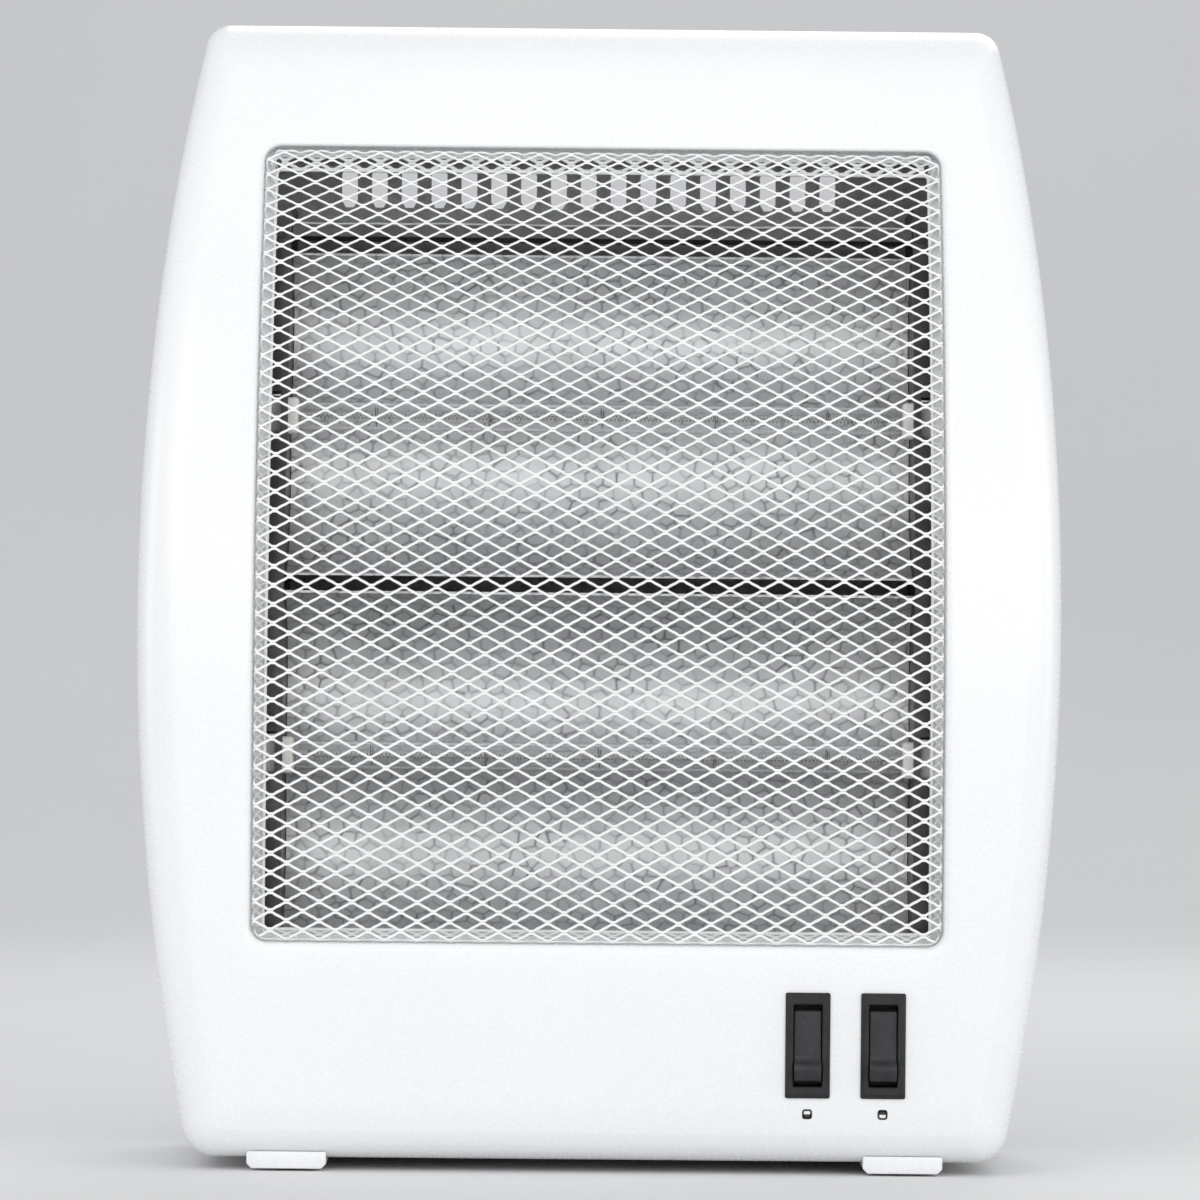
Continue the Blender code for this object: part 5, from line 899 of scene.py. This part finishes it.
def build_filament(level):
    """Coiled filament along a lamp's tube, with straight ends and wire support rings."""
    lamp = "lamp_" + level
    low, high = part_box(lamp + "_tube")
    y, z = ((low + high) / 2.0).yz
    start, end = low.x + COIL_END, high.x - COIL_END

    def add_wire(name, x, radius, angle, wire, sides):
        """Adds a wire that winds about the tube's axis."""
        line = np.stack([x, y + radius * np.cos(angle), z + radius * np.sin(angle)], axis=1)
        piece = tube_object(lamp + name, line, wire, sides)
        place_piece(piece, "tungsten", lamp + "_filament")

    angle = np.linspace(0.0, 2.0 * math.pi * COIL_TURNS, COIL_TURNS * 12 + 1)
    add_wire("_coil", np.linspace(start, end, len(angle)), COIL_RADIUS, angle, COIL_WIRE, 5)
    for side, edge, inner in (("left", low.x + LEAD_INSET, start), ("right", high.x - LEAD_INSET, end)):
        x = np.linspace(edge, inner, 8)
        add_wire("_coil_end_" + side, x, np.append(np.zeros(7), COIL_RADIUS), np.zeros(8), LEAD_WIRE, 8)
    for index in range(SUPPORT_COUNT):
        middle = start + (end - start) * (index + 0.5) / SUPPORT_COUNT
        turn = np.linspace(0.0, 4.0 * math.pi, 57)
        inward = np.maximum(turn - 2.0 * math.pi, 0.0) / (2.0 * math.pi) * SUPPORT_TAPER
        add_wire("_support_" + str(index + 1), middle + turn * SUPPORT_PITCH, SUPPORT_RADIUS - inward, turn,
                 SUPPORT_WIRE, 6)


def tube_object(name, centre, radius, sides):
    """Makes a capped tube along an array of points."""
    ahead = unit(np.gradient(centre, axis=0))
    across = np.cross(ahead[0], np.array([0.0, 0.31, 0.95]))
    across /= np.linalg.norm(across)
    frames = []
    for direction in ahead:
        across = across - direction * np.dot(across, direction)
        across /= np.linalg.norm(across)
        frames.append(across.copy())
    frames = np.array(frames)
    tube = ring_stack(centre, frames, np.cross(ahead, frames), radius, sides)
    faces = [tuple(face) for face in grid_faces(tube)]
    last = (len(centre) - 1) * sides
    faces.append(tuple(range(sides)))
    faces.append(tuple(last + index for index in reversed(range(sides))))
    return mesh_from_arrays(name, tube.reshape(-1, 3), faces)


def build_tube(level):
    """Smooth quartz tube with open ends."""
    node = "lamp_" + level + "_tube"
    low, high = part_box(node)
    radius = (high.y - low.y) / 2.0
    length = high.x - low.x
    lip = TUBE_LIP
    bore = radius - TUBE_WALL
    profile = ((radius - lip, 0.0), (radius, lip), (radius, length - lip), (radius - lip, length),
               (bore + lip, length), (bore, length - lip), (bore, lip), (bore + lip, 0.0))
    bm = bmesh.new()
    add_turned(bm, profile, (low.x, *((low + high) / 2.0).yz), (1, 0, 0), 48, closed=True)
    tube = make_object("lamp_" + level + "_quartz", bm)
    place_piece(tube, "quartz", node)


def build_cap(level, side):
    """Ceramic lamp end: rounded block with a wire slot at its outer end."""
    node = "lamp_" + level + "_cap_" + side
    low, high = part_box(node)
    bm = bmesh.new()
    add_box(bm, low, high)
    cap = make_object(node + "_ceramic", bm)
    add_bevel(cap, CAP_ROUND, 4)
    slot = bmesh.new()
    outer, inward = (low.x, 1.0) if side == "left" else (high.x, -1.0)
    ends = sorted((outer - inward * OVERCUT, outer + inward * CAP_SLOT_LENGTH))
    y, z = ((low + high) / 2.0).yz
    add_box(slot, (ends[0], y - CAP_SLOT_HALF, z + CAP_SLOT_HALF),
            (ends[1], y + CAP_SLOT_HALF, high.z + OVERCUT))
    cut_or_join(cap, slot, "DIFFERENCE", 40.0)
    place_piece(cap, "ceramic", node)


# Switches and printed marks

def rounded_rectangle(x, z, width, height, radius, steps=6):
    """Returns a rectangle with round corners in X and Z."""
    points = []
    for corner_x, corner_z, first in ((1, 1, 0.0), (-1, 1, 0.5), (-1, -1, 1.0), (1, -1, 1.5)):
        for step in range(steps + 1):
            angle = math.pi * (first + 0.5 * step / steps)
            points.append((x + corner_x * (width / 2.0 - radius) + radius * math.cos(angle),
                           z + corner_z * (height / 2.0 - radius) + radius * math.sin(angle)))
    return points


def build_switch(side, x):
    """Rocker switch: bevelled bezel round a recess, body with blades, and a rocker with a finger hollow."""
    node = "switch_" + side
    rear = FRONT_Y - CLEARANCE
    front = FRONT_Y - BEZEL_PROUD
    back = FRONT_Y + BODY_BEHIND_FACE
    pivot = FRONT_Y + ROCKER_AXIS_DEPTH
    recess_width = ROCKER_WIDTH + 2.0 * CLEARANCE
    rows = []
    for width, height, corner, y in (
            (BODY_WIDTH, BODY_HEIGHT, 0.0004, back),
            (BODY_WIDTH, BODY_HEIGHT, 0.0004, rear),
            (BEZEL_WIDTH, BEZEL_HEIGHT, 0.0007, rear),
            (BEZEL_WIDTH, BEZEL_HEIGHT, 0.0007, rear - 0.0003),
            (BEZEL_WIDTH - 0.0004, BEZEL_HEIGHT - 0.0004, 0.0006, rear - 0.0006),
            (BEZEL_WIDTH - 0.0023, BEZEL_HEIGHT - 0.0023, 0.0005, front + 0.0002),
            (BEZEL_WIDTH - 0.0028, BEZEL_HEIGHT - 0.0028, 0.0005, front),
            (recess_width + 0.0006, RECESS_HEIGHT + 0.0006, 0.0005, front),
            (recess_width, RECESS_HEIGHT, 0.0004, front + 0.0003),
            (recess_width, RECESS_HEIGHT, 0.0004, pivot + RECESS_BEHIND_AXIS)):
        rows.append(flat(rounded_rectangle(x, SWITCH_Z, width, height, corner), y))
    bm = bmesh.new()
    add_rows(bm, rows)
    body = make_object(node + "_housing", bm, 25.0)
    place_piece(body, "black_plastic", node + "_body")
    hole_radius, hole_along = BLADE_HOLE
    for number, step in ((1, -1), (2, 0), (3, 1)):
        z = SWITCH_Z + step * BLADE_PITCH
        bm = bmesh.new()
        add_box(bm, (x - BLADE_HALF_WIDTH, back, z - BLADE_HALF_WALL),
                (x + BLADE_HALF_WIDTH, back + BLADE_LENGTH, z + BLADE_HALF_WALL))
        blade = make_object(node + "_blade_" + str(number), bm)
        hole = bmesh.new()
        add_turned(hole, ((hole_radius, -0.002), (hole_radius, 0.002)), (x, back + hole_along, z),
                   (0, 0, 1), 16)
        cut_or_join(blade, hole, "DIFFERENCE")
        add_bevel(blade, 0.00012, 1)
        place_piece(blade, "spring_steel", node + "_body")

    flush = BEZEL_PROUD + ROCKER_AXIS_DEPTH
    rise = ROCKER_PROUD - BEZEL_PROUD
    profile = [(flush + rise * share, up) for up, share in ROCKER_FACE] + list(ROCKER_BACK)
    half, edge = ROCKER_WIDTH / 2.0, ROCKER_EDGE
    rows = []
    for offset, shrink in ((-half, edge), (-half + edge * 0.4, edge * 0.35), (-half + edge * 1.2, 0.0),
                           (half - edge * 1.2, 0.0), (half - edge * 0.4, edge * 0.35), (half, edge)):
        scale_y = 1.0 - shrink / ROCKER_DEPTH
        scale_z = 1.0 - shrink / ROCKER_HALF_HEIGHT
        rows.append([Vector((x + offset, pivot - ahead * scale_y,
                             SWITCH_Z + up * ROCKER_HALF_HEIGHT * scale_z)) for ahead, up in profile])
    bm = bmesh.new()
    add_rows(bm, rows)
    rocker = make_object(node + "_paddle", bm, 30.0)
    pins = bmesh.new()
    reach = half + CLEARANCE + PIN_REACH
    add_turned(pins, ((PIN_RADIUS, 0.0), (PIN_RADIUS, 2.0 * reach)), (x - reach, pivot, SWITCH_Z),
               (1, 0, 0), 20)
    cut_or_join(rocker, pins, "UNION", 30.0)
    place_piece(rocker, "rocker_plastic", node + "_rocker", body="rocker_" + side)


def build_mark(side, x, upper_full):
    """Printed round-cornered square under a switch, with one half filled: one or two lamps lit."""
    z = SWITCH_Z - MARK_BELOW_SWITCH
    ahead, behind = FRONT_Y - MARK_SKIN, FRONT_Y + MARK_SKIN
    opening = MARK_SIZE - 2.0 * MARK_LINE
    bm = bmesh.new()
    outer = rounded_rectangle(x, z, MARK_SIZE, MARK_SIZE, MARK_CORNERS[0], 5)
    inner = rounded_rectangle(x, z, opening, opening, MARK_CORNERS[1], 5)
    add_rows(bm, [flat(outer, ahead), flat(inner, ahead), flat(inner, behind), flat(outer, behind)],
             closed=True)
    half = opening / 2.0 + MARK_LINE * 0.5
    middle = z + (half / 2.0 if upper_full else -half / 2.0)
    add_box(bm, (x - half, ahead, middle - half / 2.0), (x + half, behind, middle + half / 2.0))
    mark = make_object("switch_" + side + "_mark", bm)
    place_piece(mark, "black_plastic", material=PRINT_INK)


# Feet, screws and inlet

def build_foot(side):
    """White foot with rounded edges along the casing's underside, and its two rubber pads."""
    node = "foot_" + side
    low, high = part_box(node)
    x = (low.x + high.x) / 2.0
    half = (high.x - low.x) / 2.0
    seat = CASE_BOTTOM_Z - CLEARANCE
    stations = [(FRONT_Y + depth * BAND_DEPTH, seat + share * BAND_BOTTOM - CLEARANCE)
                for share, depth in reversed(BAND_PROFILE[1:4])]
    stations += [(FRONT_Y + BAND_DEPTH, seat), (high.y, seat)]
    rows = []
    for y, top in stations:
        outline = ((x - half + FOOT_CHAMFER, low.z), (x + half - FOOT_CHAMFER, low.z),
                   (x + half, low.z + FOOT_CHAMFER), (x + half, top), (x - half, top),
                   (x - half, low.z + FOOT_CHAMFER))
        rows.append([Vector((a, y, b)) for a, b in outline])
    bm = bmesh.new()
    add_rows(bm, rows)
    foot = make_object(node + "_moulding", bm)
    add_bevel(foot, FOOT_ROUND, 3, 25.0)
    holes = bmesh.new()
    pads = []
    for pad in ("front", "rear"):
        name = "foot_pad_" + side + "_" + pad
        pad_low, pad_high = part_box(name)
        centre = (pad_low + pad_high) / 2.0
        radius = (pad_high.x - pad_low.x) / 2.0
        base = (centre.x, centre.y, 0.0)
        pads.append((name, base, radius, pad_high.z))
        bore = radius + CLEARANCE
        add_turned(holes, ((bore, 0.0), (bore, pad_high.z + CLEARANCE)), base, (0, 0, 1), 40)
    sink_top = low.z + FOOT_SCREW_SEAT
    for y in FOOT_SCREW_Y:
        add_turned(holes, ((FOOT_SCREW_SINK, 0.0), (FOOT_SCREW_SINK, sink_top), (FOOT_SCREW_HOLE, sink_top),
                           (FOOT_SCREW_HOLE, CASE_BOTTOM_Z)), (x, y, 0.0), (0, 0, 1), 28)
    cut_or_join(foot, holes, "DIFFERENCE", 40.0)
    place_piece(foot, "white_plastic", node)
    for name, base, radius, top in pads:
        bm = bmesh.new()
        profile = ((0.0012, 0.00025), (radius - 0.0022, 0.00025), (radius - 0.0018, 0.0),
                   (radius - 0.0006, 0.0), (radius - 0.00018, 0.00018), (radius, 0.0006), (radius, top))
        add_turned(bm, profile, base, (0, 0, 1), 48)
        place_piece(make_object(name + "_rubber", bm), "rubber", name)


def build_screw(node, direction):
    """Pan-head screw with a thread and a cross recess; direction points from its head to its tip."""
    low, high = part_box(node)
    direction = Vector(direction).normalized()
    length = sum(abs(direction[axis]) * (high - low)[axis] for axis in range(3))
    start = (low + high) / 2.0 - direction * length / 2.0
    head = SHORT_SCREW_HEAD if length < SHORT_SCREW else SCREW_HEAD
    radius, shank = SCREW_RADIUS, SCREW_SHANK
    profile = [(radius * 0.45, 0.0), (radius * 0.72, head * 0.10), (radius * 0.90, head * 0.32),
               (radius, head * 0.72), (radius, head), (shank, head)]
    along = head
    while along < length - 2.0 * THREAD_PITCH:
        profile += [(shank * 0.82, along + 0.00025), (shank, along + 0.00055)]
        along += THREAD_PITCH
    profile += [(shank * 0.7, length - 0.0006), (shank * 0.25, length)]
    bm = bmesh.new()
    add_turned(bm, profile, start, direction, 28)
    screw = make_object(node + "_cross_head", bm, 35.0)
    turn = Vector((0.0, 0.0, 1.0)).rotation_difference(direction).to_matrix()
    for wide, deep, floor in ((*RECESS_HALF, 0.62), (*reversed(RECESS_HALF), 0.60)):
        rows = []
        for scale, along in ((1.15, -0.0004), (0.55, head * floor)):
            rows.append([start + turn @ Vector((a * wide * scale, b * deep * scale, along))
                         for a, b in ((-1, -1), (1, -1), (1, 1), (-1, 1))])
        arm = bmesh.new()
        add_rows(arm, rows)
        cut_or_join(screw, arm, "DIFFERENCE", 35.0)
    place_piece(screw, "screw_steel", node)


# Stage

def build_stage():
    """Adds a pale floor with a curved backdrop, soft studio lights and the camera that matches the photo."""
    bm = bmesh.new()
    profile = [(-FLOOR_FRONT, 0.0), (COVE_START, 0.0)]
    for step in range(1, 13):
        angle = math.pi / 2.0 * step / 12.0
        profile.append((COVE_START + COVE_RADIUS * math.sin(angle), COVE_RADIUS * (1.0 - math.cos(angle))))
    profile.append((COVE_START + COVE_RADIUS, WALL_TOP))
    add_rows(bm, [[Vector((x, y, z)) for y, z in profile] for x in (-FLOOR_HALF, FLOOR_HALF)], sheet=True)
    floor = make_object("floor", bm, 80.0)
    floor.data.materials.append(STAGE_PAPER)

    world = bpy.data.worlds.new("studio")
    bpy.context.scene.world = world
    world.use_nodes = True
    backdrop = world.node_tree.nodes["Background"]
    set_inputs(backdrop, {"Color": (0.95, 0.97, 1.0, 1.0), "Strength": 0.55})
    bpy.context.scene.view_settings.view_transform = "Standard"
    for name, place, size, power in LIGHTS:
        data = bpy.data.lights.new(name, "AREA")
        data.shape = "RECTANGLE"
        data.size, data.size_y = size
        data.energy = power
        light = add_object(name, data)
        light.location = place
        aim = Vector(LIGHT_AIM) - Vector(place)
        light.rotation_euler = aim.to_track_quat("-Z", "Y").to_euler()

    yaw, pitch, roll = CAMERA_YAW, CAMERA_PITCH, CAMERA_ROLL
    forward = Vector((math.sin(yaw) * math.cos(pitch), math.cos(yaw) * math.cos(pitch), math.sin(pitch)))
    level = Vector((math.cos(yaw), -math.sin(yaw), 0.0))
    upright = level.cross(forward)
    right = level * math.cos(roll) + upright * math.sin(roll)
    up = upright * math.cos(roll) - level * math.sin(roll)
    data = bpy.data.cameras.new("photo view")
    data.sensor_width = SENSOR_WIDTH
    data.lens = SENSOR_WIDTH * FOCAL_PIXELS / PHOTO_PIXELS
    camera = add_object("photo view", data)
    matrix = Matrix((right, up, -forward)).transposed().to_4x4()
    matrix.translation = Vector(CAMERA_PLACE)
    camera.matrix_world = matrix
    bpy.context.scene.camera = camera


build_front_panel()
build_grille()
build_reflector("reflector_lower", LOWER_SPAN, False, 3)
build_reflector("reflector_upper", UPPER_SPAN, True, 5)
build_shield_hem()
for lamp_level in ("lower", "upper"):
    build_filament(lamp_level)
    build_tube(lamp_level)
    for lamp_side in ("left", "right"):
        build_cap(lamp_level, lamp_side)
for switch_side, switch_x in SWITCH_X.items():
    build_switch(switch_side, switch_x)
    build_mark(switch_side, switch_x, switch_side == "right")
for foot_side in ("left", "right"):
    build_foot(foot_side)
for screw_place, screw_count, inwards in (("rear", 6, (0, -1, 0)), ("foot", 4, (0, 0, 1))):
    for number in range(1, screw_count + 1):
        build_screw(f"{screw_place}_screw_{number}", inwards)
build_stage()
